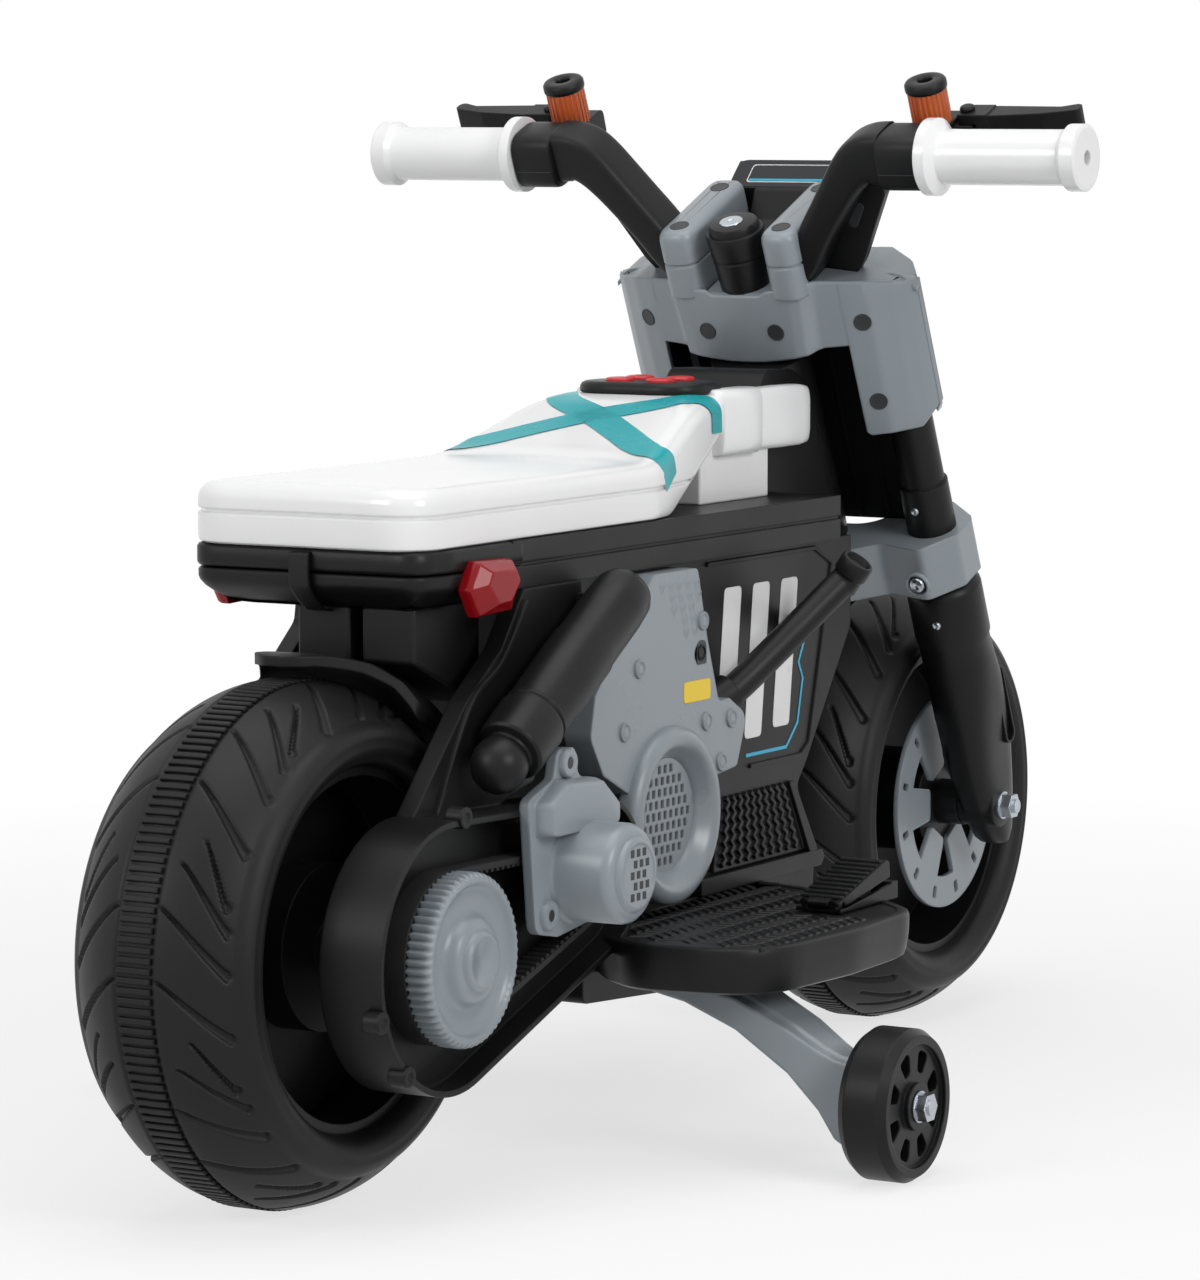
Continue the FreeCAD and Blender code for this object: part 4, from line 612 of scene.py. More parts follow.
piece("speaker_rings", both_sides(on_panel(ring_section, speaker_x, speaker_z, 96, True)), grey_abs,
    "frame", crease=45)
boss_section = [(5.0, -1), (5.0, 1.0), (4.6, 1.5), (3.9, 1.5), (3.5, 0.9), (3.0, 0.8), (2.4, 1.3), (0.01, 1.5)]
boss_places = [(-37, 266), (-104, 247), (-119, 216), (-33, 213), (-6, 212), (-17, 190)]
piece("panel_bosses", both_sides(joined(*[on_panel(boss_section, x, z, 24) for x, z in boss_places])),
    grey_abs, "frame")
diamond_half, diamond_tall, diamond_pitch, diamond_proud, diamond_sunk = 4.4, 6.0, 9.0, 1.0, 0.1
diamonds = []
for row in range(5):
    z = 287.5 - 6.2 * row
    left, right = -80 + 6.4 * row, -42 + 0.8 * row
    x = left + (row % 2) * diamond_pitch / 2
    while x < right:
        rim = ((-diamond_half, 0), (0, -diamond_tall), (diamond_half, 0), (0, diamond_tall))
        base = [(x + a, panel_face - diamond_sunk, z + b) for a, b in rim]
        diamonds.append((base + [(x, panel_face + diamond_proud, z)],
            [(0, 1, 4), (1, 2, 4), (2, 3, 4), (3, 0, 4)]))
        x += diamond_pitch
piece("panel_diamonds", both_sides(joined(*diamonds)), grey_abs, "frame", crease=10)
jack_arch = prism(rounded([(-43, 243.5, 1), (-33, 243.5, 1), (-33, 256, 4.6), (-43, 256, 4.6)], 1),
    to_right, 77.6, 78.3)
piece("charging_jack_arch", jack_arch, inner_abs_and_hole_shade, "frame")
jack_ring = turned([(4.3, 0), (4.3, 0.5), (3.9, 0.8), (3.3, 0.6), (3.1, 0.2), (0.01, 0.2)],
    (-38.5, -78.2, 249.5), RIGHT, 28)
piece("charging_jack_ring", jack_ring, black_pp, "frame")
label = prism(rounded([(-57, 224.5), (-28.5, 224.5), (-28.5, 235.5), (-57, 235.5)], 2.2), to_right, 77.9, 78.25)
piece("charge_label_blank", label, yellow_vinyl, "frame")

# Crash bars with a turned peg end.
bar_path = curve([(-4, 60, 217), (2, 65, 220), (12, 70.5, 225), (43, 87, 252), (68, 100, 274),
    (73.5, 104, 279.5), (74.5, 108, 285)], 8)
bar_tube = swept(bar_path, round_section(8.2), (0, 0.2, 1))
bar_socket = swept([(-10, 61, 213), (4, 66.5, 221), (9, 69, 223.6)], round_section(10.4), (0, 0.2, 1))
bar_leg = swept([(70, 98, 274), (80, 84, 264), (90, 63, 250)], round_section(6.2), (0, 1, 0.2))
peg_section = [(0.01, -6), (8.2, -6), (8.2, 0), (7.4, 0.5), (7.4, 2.2), (9.2, 2.8), (9.3, 3.4), (9.3, 10.4),
    (8.7, 11.6), (7.4, 11.8), (6.9, 10.6), (6.5, 9.4), (0.01, 9.2)]
bar_peg = turned(peg_section, (74.2, 105, 281), (0, 0.59, 0.81), 40)
piece("crash_bar_tubes", both_sides(joined(bar_tube, bar_socket, bar_leg, bar_peg)), black_pp, "frame",
    ("crash_bars",), crease=40)

# Body side: slanted bars with a line, zigzag tread pad, sill.
side_face = 62.0


def on_side(a, b, d):
    """Outline in x and z on the left body side, d off it."""
    return (a, side_face + d, b)


bars = []
for x, foot in ((6, 192), (38, 195), (70, 198)):
    bars.append(prism(rounded([(x, foot), (x + 19, foot), (x + 29, 278), (x + 10, 278)], 3.5), on_side, 0.05, 0.3))
piece("side_bars", both_sides(joined(*bars)), white_vinyl, "frame")
line_path = [(40, 186), (86, 186), (99, 198), (105, 222), (100, 231), (107, 243), (110, 262)]
line_loops = []
for i, p in enumerate(line_path):
    ahead = heading(line_path, i)
    line_loops.append([on_side(p[0] - ahead[1] * w, p[1] + ahead[0] * w, d)
        for w, d in ((-1, 0.05), (1, 0.05), (1, 0.3), (-1, 0.3))])
piece("side_line", both_sides(loft(line_loops)), cyan_vinyl, "frame")
frame_rail = [(-4, 292), (118, 292), (138, 282), (112, 186), (102, 180), (44, 180)]
rail = swept([on_side(a, b, 0) for a, b in frame_rail],
    [(-1.6, -1), (1.6, -1), (1.0, 1.2), (-1.0, 1.2)], (0, 1, 0))
zigzag_columns, zigzag_steps, zigzag_swing = 10, 12, 1.6
zigzags = []
for column in range(zigzag_columns):
    top_x, low_x = 18 + 6.9 * column, 8 + 9.2 * column
    path = []
    for k in range(zigzag_steps + 1):
        t = k / zigzag_steps
        x = top_x + (low_x - top_x) * t + (zigzag_swing if k % 2 else -zigzag_swing)
        path.append(on_side(x, 166 - 35 * t, 0.2 + 3 * t))
    zigzags.append(swept(path, [(-2.0, -2), (2.0, -2), (1.2, 1.6), (-1.2, 1.6)], (0, 1, 0)))
pad_back = prism([(12, 170), (88, 168), (106, 128), (0, 128)],
    lambda a, b, d: on_side(a, b, d * (170 - b) / 42 - 0.5), 0.0, 3.4)
pad_strip = prism(rounded([(86, 167), (92, 167), (112, 127), (103, 127)], 1.5),
    lambda a, b, d: on_side(a, b, d * (0.4 + (170 - b) / 50)), -0.5, 5.0)
sill = prism(rounded([(-20, 118), (116, 118), (120, 123), (116, 127), (-20, 127)], 1.5), on_side, -1, 6.5)
piece("side_tread_pads", both_sides(joined(rail, pad_back, pad_strip, sill, *zigzags)), black_pp,
    "frame", crease=20)

# Footboards with a stepped rim and chevron tread.
board_half = [(-126, 60, 2), (-156, 86, 30), (-174, 112, 40), (-162, 182, 60), (-76, 190, 120), (-2, 186, 60),
    (24, 154, 60), (44, 88, 30), (52, 60, 2)]
board_plan = even(rounded(board_half, 8, 8), 200)


def board_root(p):
    """The edge that meets the body."""
    return p[1] < 61.0


board_levels = [(14, 94), (5, 94.2), (2.5, 95.6), (1.6, 98), (0.3, 106), (0, 112), (0, 115.6), (0.7, 117.2),
    (2.2, 118), (6, 118), (7, 117.2), (20, 117.2)]
board = loft(inset_loops(board_plan, board_levels, board_root))


def has_tread(x, y):
    """Inside the board's rim and clear of the pedal base."""
    near_rim = not -150 < x < 34 or y > 172 or (y < 100 and x < -140) or (y > 95 and x > 24)
    near_pedal = y > 128 and x > -40
    return not (near_rim or near_pedal)


chevron_rows, chevron_steps, chevron_pitch, chevron_lean = 11, 24, 8.4, 3.4
chevrons = []
for row in range(chevron_rows):
    for step in range(chevron_steps):
        x, y = -166 + chevron_pitch * step + (chevron_pitch / 2 if row % 2 else 0), 72 + 10.0 * row
        lean = chevron_lean if row % 2 else -chevron_lean
        if not has_tread(x, y):
            continue
        loops = []
        for z, k in ((116.9, 1.0), (117.8, 0.84)):
            loops.append([(x + sx * 2.4 * k + lean * sy * k, y + sy * 4.3 * k, z) for sx, sy in four_corners])
        chevrons.append(loft(loops))
piece("footboard_shells", both_sides(joined(board, *chevrons)), black_pp, "frame", ("footboards",), crease=35)

# Pedal ribs.
ribs = []
slope = atan2(16.0, 54.0)
for k in range(10):
    x = -30 + 4.9 * k
    z = 123.5 + (x + 36) * tan(slope)
    ribs.append(prism([(x - 1.3, z - 1), (x + 1.3, z - 0.4), (x + 0.8, z + 1.2), (x - 0.8, z + 0.9)],
        to_left, -157.2, -132.8))
piece("pedal_ribs", joined(*ribs), black_pp, "pedal", ease=0.3)

# Fork legs: collar, barrel and flattened blade with a slot.
leg_y = 73.5
leg_stations = [(150, 0, 14.5, 14.5, 2, 0), (149.4, 0, 18, 18, 2, 0), (146, 0, 21.2, 21.2, 2, 0),
    (144, 0, 21.6, 21.6, 2, 0), (114, 0, 21.6, 21.6, 2, 0), (111, 0, 20.4, 20.4, 2, 0),
    (98, 0.8, 21.2, 20.2, 2.1, 0), (80, 3.4, 23.4, 19.2, 2.4, -0.6), (55, 5.6, 24.8, 16.4, 3.0, -1.4),
    (30, 6.2, 24.4, 13.8, 3.4, -2), (8, 5.8, 20.4, 12.0, 3.4, -2), (-10, 5.0, 14.8, 11.2, 3.2, -2),
    (-21, 4.4, 9.6, 10.4, 3, -2), (-26, 4.0, 5.0, 9.0, 2.6, -2)]
leg = loft([[fork(shift + a, leg_y + side + b, v) for a, b in superellipse(half_u, half_y, power, 48)]
    for v, shift, half_u, half_y, power, side in leg_stations])
leg_eye = [[fork(12.5 * cos(t) * k, 60 + d, 12.5 * sin(t) * k) for t in full_turn(40)]
    for d, k in ((0, 0.9), (0, 1.0), (22.4, 1.0), (23, 0.9))]
piece("fork_leg_shells", both_sides(joined(leg, loft(leg_eye))), black_pp, "steering",
    ("fork_legs",), crease=45)
slot_u, slot_v, slot_round, slot_half = 17, 58, 4.6, 19
slot_loop = [(slot_u + slot_round * cos(a),
    slot_v + (slot_half if sin(a) > 0 else -slot_half) + slot_round * sin(a)) for a in full_turn(36)]
slot_rim = loft([[fork(u + (u - slot_u) * k, y, v + (v - slot_v) * k * 0.2) for u, v in slot_loop]
    for k, y in ((0.0, 84.0), (0.0, 88.4), (0.25, 88.4), (0.3, 84.0))], capped=False, closed=True)
piece("fork_leg_slots", both_sides(slot_rim), black_pp, "steering", crease=40)


# Screws of the fork.
def dome_screw(origin, axis, radius, proud=1.6):
    """Pan-head screw with a shallow dimple for the driver."""
    return turned([(radius, -2), (radius, proud * 0.35), (radius * 0.85, proud * 0.8), (radius * 0.5, proud),
        (radius * 0.3, proud * 0.75), (0.01, proud * 0.5)], origin, axis, 24)


clamp_screws = both_sides(dome_screw(fork(-40.2, 80, 167), back_fork, 4.6, 2.2))
leg_screws = both_sides(dome_screw(fork(-21.3, 76, 130), back_fork, 2.6))
sleeve_screws = both_sides(dome_screw(fork(-13.8, 72.5, 199), back_fork, 2.4))
piece("fork_screws", joined(clamp_screws, leg_screws, sleeve_screws), zinc, "steering")
clamp_cup = turned([(7.4, -1), (7.4, 1.2), (6.8, 1.8), (6.0, 1.6), (5.6, 0.2), (5.4, -1)],
    fork(-40, 80, 167), back_fork, 32)
piece("clamp_screw_cups", both_sides(clamp_cup), grey_abs, "steering")

# Stem cap: collar, domed key barrel with a plain steel disc.
stem = turned([(13.8, 0), (15.0, 17.6), (14.5, 18.2), (14.5, 18.8), (15.3, 19.4), (16.4, 32.8), (16.0, 33.6),
    (14.8, 33.4), (14.3, 32.6), (14.1, 36.4), (13.2, 37.9), (10, 38.5), (0.01, 38.5)],
    fork(-22, 0, 343), up_fork, 56)
piece("stem_cap_shell", stem, black_pp, "steering", ("stem_cap",), crease=40)
stem_disc = turned([(6.6, -0.4), (6.6, 0.5), (6.2, 0.9), (2.0, 0.9), (1.6, 0.5), (0.01, 0.5)],
    fork(-23, 0.5, 381.4), up_fork, 36)
piece("stem_disc", stem_disc, zinc, "steering")

# Display window: plain frame and a blue foot strip.
tilt = radians(20.6)


def on_screen(a, b, d):
    """a across to the left, b up the screen, d off it."""
    return fork(50.5 + b * cos(tilt) - d * sin(tilt), a, 376.7 + b * sin(tilt) + d * cos(tilt))


window = prism(rounded([(-36, -10.4), (36, -10.4), (36, 10.8), (-36, 10.8)], 6), on_screen, -1.0, 0.2)
piece("display_window", window, smoked_acrylic, "steering", ease=0.2)
window_outline = rounded([(-26, -7), (26, -7), (26, 7), (-26, 7)], 2.4)
window_frame = loft([[on_screen(a * wide, b * tall, d) for a, b in window_outline]
    for wide, tall, d in ((1, 1, 0.15), (1, 1, 0.3), (0.975, 0.9, 0.3), (0.975, 0.9, 0.15))],
    capped=False, closed=True)
piece("display_line", window_frame, white_vinyl, "steering")
strip = prism([(-24.5, -6), (24.5, -6), (24.5, -4.2), (-24.5, -4.2)], on_screen, 0.15, 0.3)
piece("display_strip", strip, cyan_vinyl, "steering")

# Blinkers: ribbed lens under a ringed cap.
blinker_u, blinker_y = 17, 113.4
lens_steps, lens_rib, lens_groove = 96, 10.9, 10.1
lens_loops = []
for v in (423.5, 443.2):
    loop = []
    for k in range(lens_steps):
        a, r = 2 * pi * k / lens_steps, lens_rib if k % 4 < 2 else lens_groove
        loop.append(fork(blinker_u + r * cos(a), blinker_y + r * sin(a), v))
    lens_loops.append(loop)
piece("blinker_lenses", both_sides(loft(lens_loops)), amber_pc, "steering", ("indicator_lenses",), crease=20)
blinker_cap = turned([(0.01, 0), (10.6, 0), (11.5, 0.7), (11.7, 1.6), (11.6, 4.4), (10.8, 5.6), (9.2, 6.1),
    (4.9, 6.1), (4.3, 5.6), (4.0, 4.6), (3.9, 1.4), (0.01, 1.2)], fork(blinker_u, blinker_y, 443), up_fork, 48)
piece("blinker_caps", both_sides(blinker_cap), black_pp, "steering", ("indicator_caps",), crease=40)

# Bar arms: swept rounded box with a wing behind.
arm_u = -16.0
arm_stations = [(24, 346, 7), (33, 350, 8.6), (42, 360, 9.8), (52, 376, 10), (62, 390, 10.2),
    (72, 403.5, 10.8), (80, 413, 12), (87, 418.6, 13.4), (94, 420.4, 14.6), (101.5, 420.5, 15)]
arm_path = curve(arm_stations, 6)
arm_loops = []
for i, (y, v, half) in enumerate(arm_path):
    run = heading(arm_path, i)
    arm_loops.append([fork(arm_u + a, y - run[1] * b, v + run[0] * b)
        for a, b in superellipse(13.6, half, 5, 48)])
wing = prism(rounded([(40, 340), (60, 340), (69, 352), (90, 392), (90, 410), (52, 366)], 4), fork_front, -9, -2)
piece("bar_arm_shells", both_sides(loft(arm_loops)), black_pp, "steering", ("bar_arms",), crease=45)
piece("bar_arm_wings", both_sides(wing), black_pp, "steering", ("bar_arms",), ease=1.4)
# Dark plate on the wing's face: painted shade in place of the open slot.
wing_opening_shade = []
for a in np.linspace(0.01, 2 * pi + 0.01, 36, endpoint=False):
    end = 4.4 if sin(a) > 0 else -4.4
    wing_opening_shade.append((70 + 3.2 * cos(a) + end * 0.6, 380 + 3.2 * sin(a) + end))
piece("bar_arm_wing_opening_shade", both_sides(prism(wing_opening_shade, fork_front, -9.3, -8)), inner_abs_and_hole_shade, "steering", ease=0.3)

# Lever perches: rounded clamp with a split line, lever block and tongue.
perch_u = -17
perch_loops = [[fork(perch_u + a * k, y, 418.8 + b * k) for a, b in superellipse(16.4, 16.2, 3.6, 48)]
    for y, k in ((101.0, 0.92), (101.6, 0.98), (103, 1.0), (123.6, 1.0), (125, 0.98), (125.7, 0.92))]
perch_split = [[fork(perch_u + a, y, 415.2 + b) for a, b in superellipse(16.55, 0.5, 4, 24)]
    for y in (102.4, 124.6)]
perch_block = prism(rounded([(-14, 407), (22, 406), (34, 409), (35, 424), (4, 424), (-10, 427)], 4),
    fork_side, 102.5, 125.2)
perch_tongue = prism(rounded([(17, 122), (35, 122), (33, 136), (19, 136)], 4), fork, 414.2, 420.8)
perch_pin = turned([(2.5, 0), (2.5, 18.4), (4.2, 18.4), (4.2, 20), (3.4, 21), (0.01, 21.2)],
    fork(26, 131, 408.6), up_fork, 24)
piece("lever_perch_clamps", both_sides(loft(perch_loops)), black_pp, "steering", ("lever_perches",), crease=40)
piece("lever_perch_blocks", both_sides(joined(perch_block, perch_tongue, perch_pin)), black_pp, "steering",
    ("lever_perches",), ease=1.2)
piece("lever_perch_splits", both_sides(loft(perch_split)), inner_abs_and_hole_shade, "steering")

# Clamp caps over the bar arms, parted from the shroud block by a fine split.
cap_plan = even(rounded([(-38, 21, 10), (38, 21, 9), (38, 43, 9), (-38, 43, 10)], 10, 8), 120)
cap_levels = [(0, 341), (0, 359.6), (0.9, 360.2), (0.9, 360.9), (0, 361.5), (0, 374.5), (0.5, 377), (1.8, 379),
    (4, 380), (8, 380.2)]
cap = [[fork(u, y, v) for u, y, v in loop] for loop in inset_loops(cap_plan, cap_levels)]
piece("clamp_cap_shells", both_sides(loft(cap)), grey_abs, "steering", ("clamp_caps",), crease=40)
# Dark discs on top of the caps: painted shade for the screw holes.
cap_hole_shade_discs = [turned([(5.4, -1), (5.4, 0.2), (5.0, 0.35), (4.5, 0.25), (4.3, 0.1), (0.01, 0.1)],
    fork(u, 31.8, 380.2), up_fork, 28) for u in (-26, 24.6)]
piece("clamp_cap_hole_shade", both_sides(joined(*cap_hole_shade_discs)), inner_abs_and_hole_shade, "steering")

# Rear shroud: curved moulding with a raised centre block, arch below and a closed top.
shroud_thick = 3.0


def shroud_rear_u(y, v):
    """How far back the rear face lies at a place across the shroud."""
    reach = abs(y) - 0.07 * (v - 300) * min(max((80 - abs(y)) / 36, 0), 1)
    return float(np.interp(reach, [0, 30, 36.5, 40.5, 43, 60, 72, 84, 90, 93, 96],
        [-37.5, -36.5, -35, -29, -27.6, -23.6, -19.2, -11.6, -6, -1.5, 6]))


def shroud_wall(columns, low, high):
    """Closed wall over columns across the shroud, each running from its low edge to its high edge."""
    loops = []
    for y in columns:
        bottom, top = float(np.interp(abs(y), *low)), float(np.interp(abs(y), *high))
        rises = np.linspace(bottom + 0.8, top - 0.8, 12)
        outer = [fork(shroud_rear_u(y, v), y, v) for v in rises]
        inner = [fork(shroud_rear_u(y, v) + shroud_thick, y, v) for v in rises[::-1]]
        head = [fork(shroud_rear_u(y, top) + k, y, top) for k in (0.8, 2.4)]
        foot = [fork(shroud_rear_u(y, bottom) + k, y, bottom) for k in (2.4, 0.8)]
        loops.append(outer + head + inner + foot)
    return loft(loops)


shroud_leg = both_sides(shroud_wall(np.concatenate([np.linspace(58, 84, 14), np.linspace(85, 94.1, 14)]),
    ([58, 60, 86, 94.5], [253, 251, 251, 262]), ([58, 70, 94.5], [346.5, 345, 337])))
shroud_middle = shroud_wall(np.linspace(-58, 58, 117),
    ([0, 10, 20, 30, 38, 44, 58], [302, 302, 303, 304.5, 305.8, 307, 307]),
    ([0, 15, 19, 44, 58], [343, 343, 345.5, 348, 346.5]))
piece("shroud_rear_shell", joined(shroud_leg, shroud_middle), grey_abs, "steering", ("shroud_rear",), crease=40)
# Dark discs over the screw holes: painted shade where the screws sit deep.
hole_shade_section = [(5.0, -2.0), (5.0, 0.5), (4.6, 0.7), (4.3, 0.5), (0.01, 0.45)]
shroud_hole_shade_discs = []
for y, v in ((67.6, 320.6), (67.6, 271.7), (21.4, 321)):
    lean = (shroud_rear_u(y + 4, v) - shroud_rear_u(y - 4, v)) / 8
    off_face = Vector(fork(-1, lean, 0)) - Vector(fork(0, 0, 0))
    shroud_hole_shade_discs.append(turned(hole_shade_section, fork(shroud_rear_u(y, v), y, v), off_face, 28))
shroud_deck = prism(rounded([(-35, -20, 2), (2, -20, 2), (2, 20, 2), (-35, 20, 2)], 2), fork, 340.5, 343.2)
piece("shroud_deck", shroud_deck, grey_abs, "steering", ease=0.6)
piece("shroud_screw_hole_shade", both_sides(joined(*shroud_hole_shade_discs)), inner_abs_and_hole_shade, "steering")
top_rows = []
for y in np.linspace(44, 93, 18):
    rise = float(np.interp(y, [44, 70, 93], [347, 344.2, 336.6]))
    back_u = shroud_rear_u(y, rise)
    top_rows.append([fork(u, y, v) for u, v in ((back_u + 1.0, rise), (3.5, rise + 1.0), (3.5, rise - 2.0),
        (back_u + 1.0, rise - 3.0))])
corner_rows = []
for y in np.linspace(60, 94.2, 14):
    rise = float(np.interp(y, [60, 68, 84, 87.5, 94.2], [343.3, 343.3, 341.6, 340.4, 333.4]))
    front_u = float(np.interp(y, [60, 68, 86, 94.2], [27.6, 27.6, 14.6, 2.6]))
    corner_rows.append([fork(u, y, v) for u, v in ((-3, rise), (front_u, rise), (front_u, rise - 2.5),
        (-3, rise - 2.5))])
piece("shroud_top_covers", both_sides(joined(loft(top_rows), loft(corner_rows))), grey_abs,
    "steering", crease=40)

# Shock: ball foot, ringed sleeve and tube.
shock_low, shock_high = Vector((-262, -90.1, 216)), Vector((-136, -90.1, 292))
shock_length = (shock_high - shock_low).length
shock_section = [(0.01, -14.4), (6, -13.2), (10.6, -9.8), (13.4, -5), (14.2, 0), (13.6, 4.6), (12.2, 8.0),
    (12.6, 9.4), (16.4, 10.2), (17.4, 11.6), (17.9, 34), (17.5, 35.4), (16.6, 35.8), (16.6, 37.0),
    (17.4, 37.6), (17.4, 39), (16.6, 40), (17.2, 66), (17.2, 92), (16.4, 96), (16.2, 128),
    (15.4, shock_length - 7), (13.6, shock_length - 2.6), (10.4, shock_length + 0.2), (6, shock_length + 1.4),
    (0.01, shock_length + 1.8)]
piece("shock_shell", turned(shock_section, shock_low, shock_high - shock_low, 56), black_pp, "frame",
    ("shock",), crease=30)

# Belt teeth along both straight runs.
pulley_centre, sprocket_centre = np.array((-axle_x, axle_z)), np.array((-172.0, 150.0))
pulley_belt, sprocket_belt, tooth_pitch = 39.05, 16, 5
reach = sprocket_centre - pulley_centre
lean = atan2(reach[1], reach[0])
spread = acos((pulley_belt - sprocket_belt) / np.linalg.norm(reach))
teeth = []
for turn in (1, -1):
    out = np.array((cos(lean + turn * spread), sin(lean + turn * spread)))
    start, end = pulley_centre + pulley_belt * out, sprocket_centre + sprocket_belt * out
    along = (end - start) / np.linalg.norm(end - start)
    for k in range(int(np.linalg.norm(end - start) / tooth_pitch)):
        mid = start + along * (tooth_pitch * k + 3)
        shape = [mid - along * 1.5 + out * 0.3, mid + along * 1.5 + out * 0.3, mid + along * 1.0 - out * 1.6,
            mid - along * 1.0 - out * 1.6]
        teeth.append(prism([tuple(p) for p in shape], to_right, 82.6, 94.0))
piece("belt_teeth", joined(*teeth), belt_rubber, "frame")

# Fork cover ribs.
cover_ribs = [prism([(7.3, 183), (7.3, 300), (7.1, 300), (7.1, 183)], fork_side, y - 1.2, y + 1.2)
    for y in (-44, -26, 26, 44)]
piece("fork_cover_ribs", joined(*cover_ribs), black_pp, "steering", ease=0.4)

# Motor cover: lugged plate, sloped block, drum with a stepped end; its square vents and the lug eyes are dark
# squares and discs of painted shade.
motor_x, motor_z = -208.0, 159.0
lug_places = ((-236, 140), (-218, 213), (-182, 182))
cover_plate = prism(rounded([(-254, 198, 6), (-247, 132, 8), (-226, 128, 8), (-174, 134, 8), (-166, 190, 8),
    (-206, 206, 6), (-209, 220, 5), (-226, 220, 5), (-230, 206, 4)], 5), to_right, 96.3, 101.5)
block_outline = rounded([(-248, 180), (-248, 196), (-230, 206), (-196, 204), (-178, 190), (-178, 180)], 4)
cover_block = loft([[to_right(motor_x + (x - motor_x) * k, z if z < 182 else 182 + (z - 182) * k, d)
    for x, z in block_outline] for d, k in ((100, 1), (106, 0.99), (110.5, 0.93), (111.5, 0.86))])
drum = turned([(27.4, 98), (26.8, 101.4), (25.8, 102.6), (25.2, 104), (25.0, 129), (24.2, 131.8),
    (22.6, 133.6), (20.6, 134.4), (19.0, 134.5), (18.6, 135.4), (18.0, 136.8), (16.8, 137.4), (15.4, 137.4),
    (14.9, 136.8), (0.01, 136.8)], (motor_x, 0, motor_z), RIGHT, 64)
cover_lugs = [turned([(7.4, 96.3), (7.4, 103.6), (6.6, 104.6), (3.4, 104.6), (3.0, 104.0), (0.01, 104.0)],
    (x, 0, z), RIGHT, 32) for x, z in lug_places]
piece("motor_cover_plate", joined(cover_plate, cover_block), grey_abs, "frame", ("motor_cover",), ease=1.6)
piece("motor_cover_drum", joined(drum, *cover_lugs), grey_abs, "frame", crease=40)
vent_x, vent_z, vent_reach = 5.8, 5.4, 13.4
vent_places = [(motor_x + vent_x * column + (2.9 if row % 2 else 0), motor_z + vent_z * row)
    for row in (-2, -1, 0, 1, 2) for column in (-1, 0, 1)]
# Dark squares on the drum's end and dark discs in the lugs: painted shade for the vent openings and screw eyes.
vent_shade_squares = [prism([(x + 1.7 * sx, z + 1.9 * sz) for sx, sz in four_corners], to_right, 136.2, 136.95)
    for x, z in vent_places if hypot(x - motor_x, z - motor_z) < vent_reach]
lug_eye_shade_discs = [turned([(2.9, 104.0), (2.9, 104.12), (0.01, 104.12)], (x, 0, z), RIGHT, 24) for x, z in lug_places]
piece("motor_cover_vent_and_eye_shade", joined(*vent_shade_squares, *lug_eye_shade_discs), inner_abs_and_hole_shade, "frame")

# Pulley: rounded teeth, dished face and stepped hub cap.
pulley_rows = [(94.6, 41.0, 1.2), (104.2, 41.0, 1.2), (106.0, 40.6, 1.0), (107.2, 39.8, 0.5),
    (107.8, 38.6, 0.1), (107.6, 37.2, 0), (106, 36.2, 0), (104.4, 34.8, 0), (103.6, 32, 0), (103.2, 24.5, 0),
    (103.8, 22.6, 0), (106, 21.2, 0), (108.6, 20, 0), (109.8, 18.6, 0), (110.2, 16, 0), (110.3, 15.2, 0),
    (111.2, 14.8, 0), (112.6, 14.2, 0), (113.2, 13, 0), (113.3, 11.4, 0), (112.7, 10.8, 0), (112.7, 0.01, 0)]
pulley_steps, pulley_teeth = 480, 60
pulley_loops = []
for d, radius, tooth in pulley_rows:
    loop = []
    for k in range(pulley_steps):
        a = 2 * pi * k / pulley_steps
        r = radius + tooth * cos(pulley_teeth * 2 * pi * k / pulley_steps)
        loop.append(to_right(-axle_x + r * cos(a), axle_z + r * sin(a), d))
    pulley_loops.append(loop)
piece("pulley_wheel", loft(pulley_loops), grey_abs, "frame", ("pulley",), crease=50)

# Training wheel brackets: sloped channel with a raised ridge.
bracket_mid, training_stagger = -112.0, 28
bracket_rows = [(92, 94, 90, 24), (122, 94, 84, 24), (150, 88, 72, 22), (178, 74, 52, 19), (194, 64, 34, 16),
    (202, 60, 20, 14), (211.6, 58, 14, 13.4)]
bracket = [[(bracket_mid + half * sx, y, top if sz else low) for sx, sz in ((-1, 0), (1, 0), (1, 1), (-1, 1))]
    for y, top, low, half in bracket_rows]
ridge = [[(bracket_mid + 0.62 * half * sx * k, y, top + lift)
    for sx, lift, k in ((-1, -1, 1), (1, -1, 1), (1, 1.8, 0.86), (-1, 1.8, 0.86))]
    for y, top, low, half in bracket_rows if y > 100]
right_bracket = joined(loft(bracket), loft(ridge))
left_bracket = ([(x + training_stagger, y, z) for x, y, z in right_bracket[0]], right_bracket[1])
right_bracket = ([(x, -y, z) for x, y, z in right_bracket[0]], right_bracket[1])
piece("training_bracket_shells", joined(right_bracket, left_bracket), grey_abs, "frame",
    ("training_brackets",), ease=1.6, crease=25)

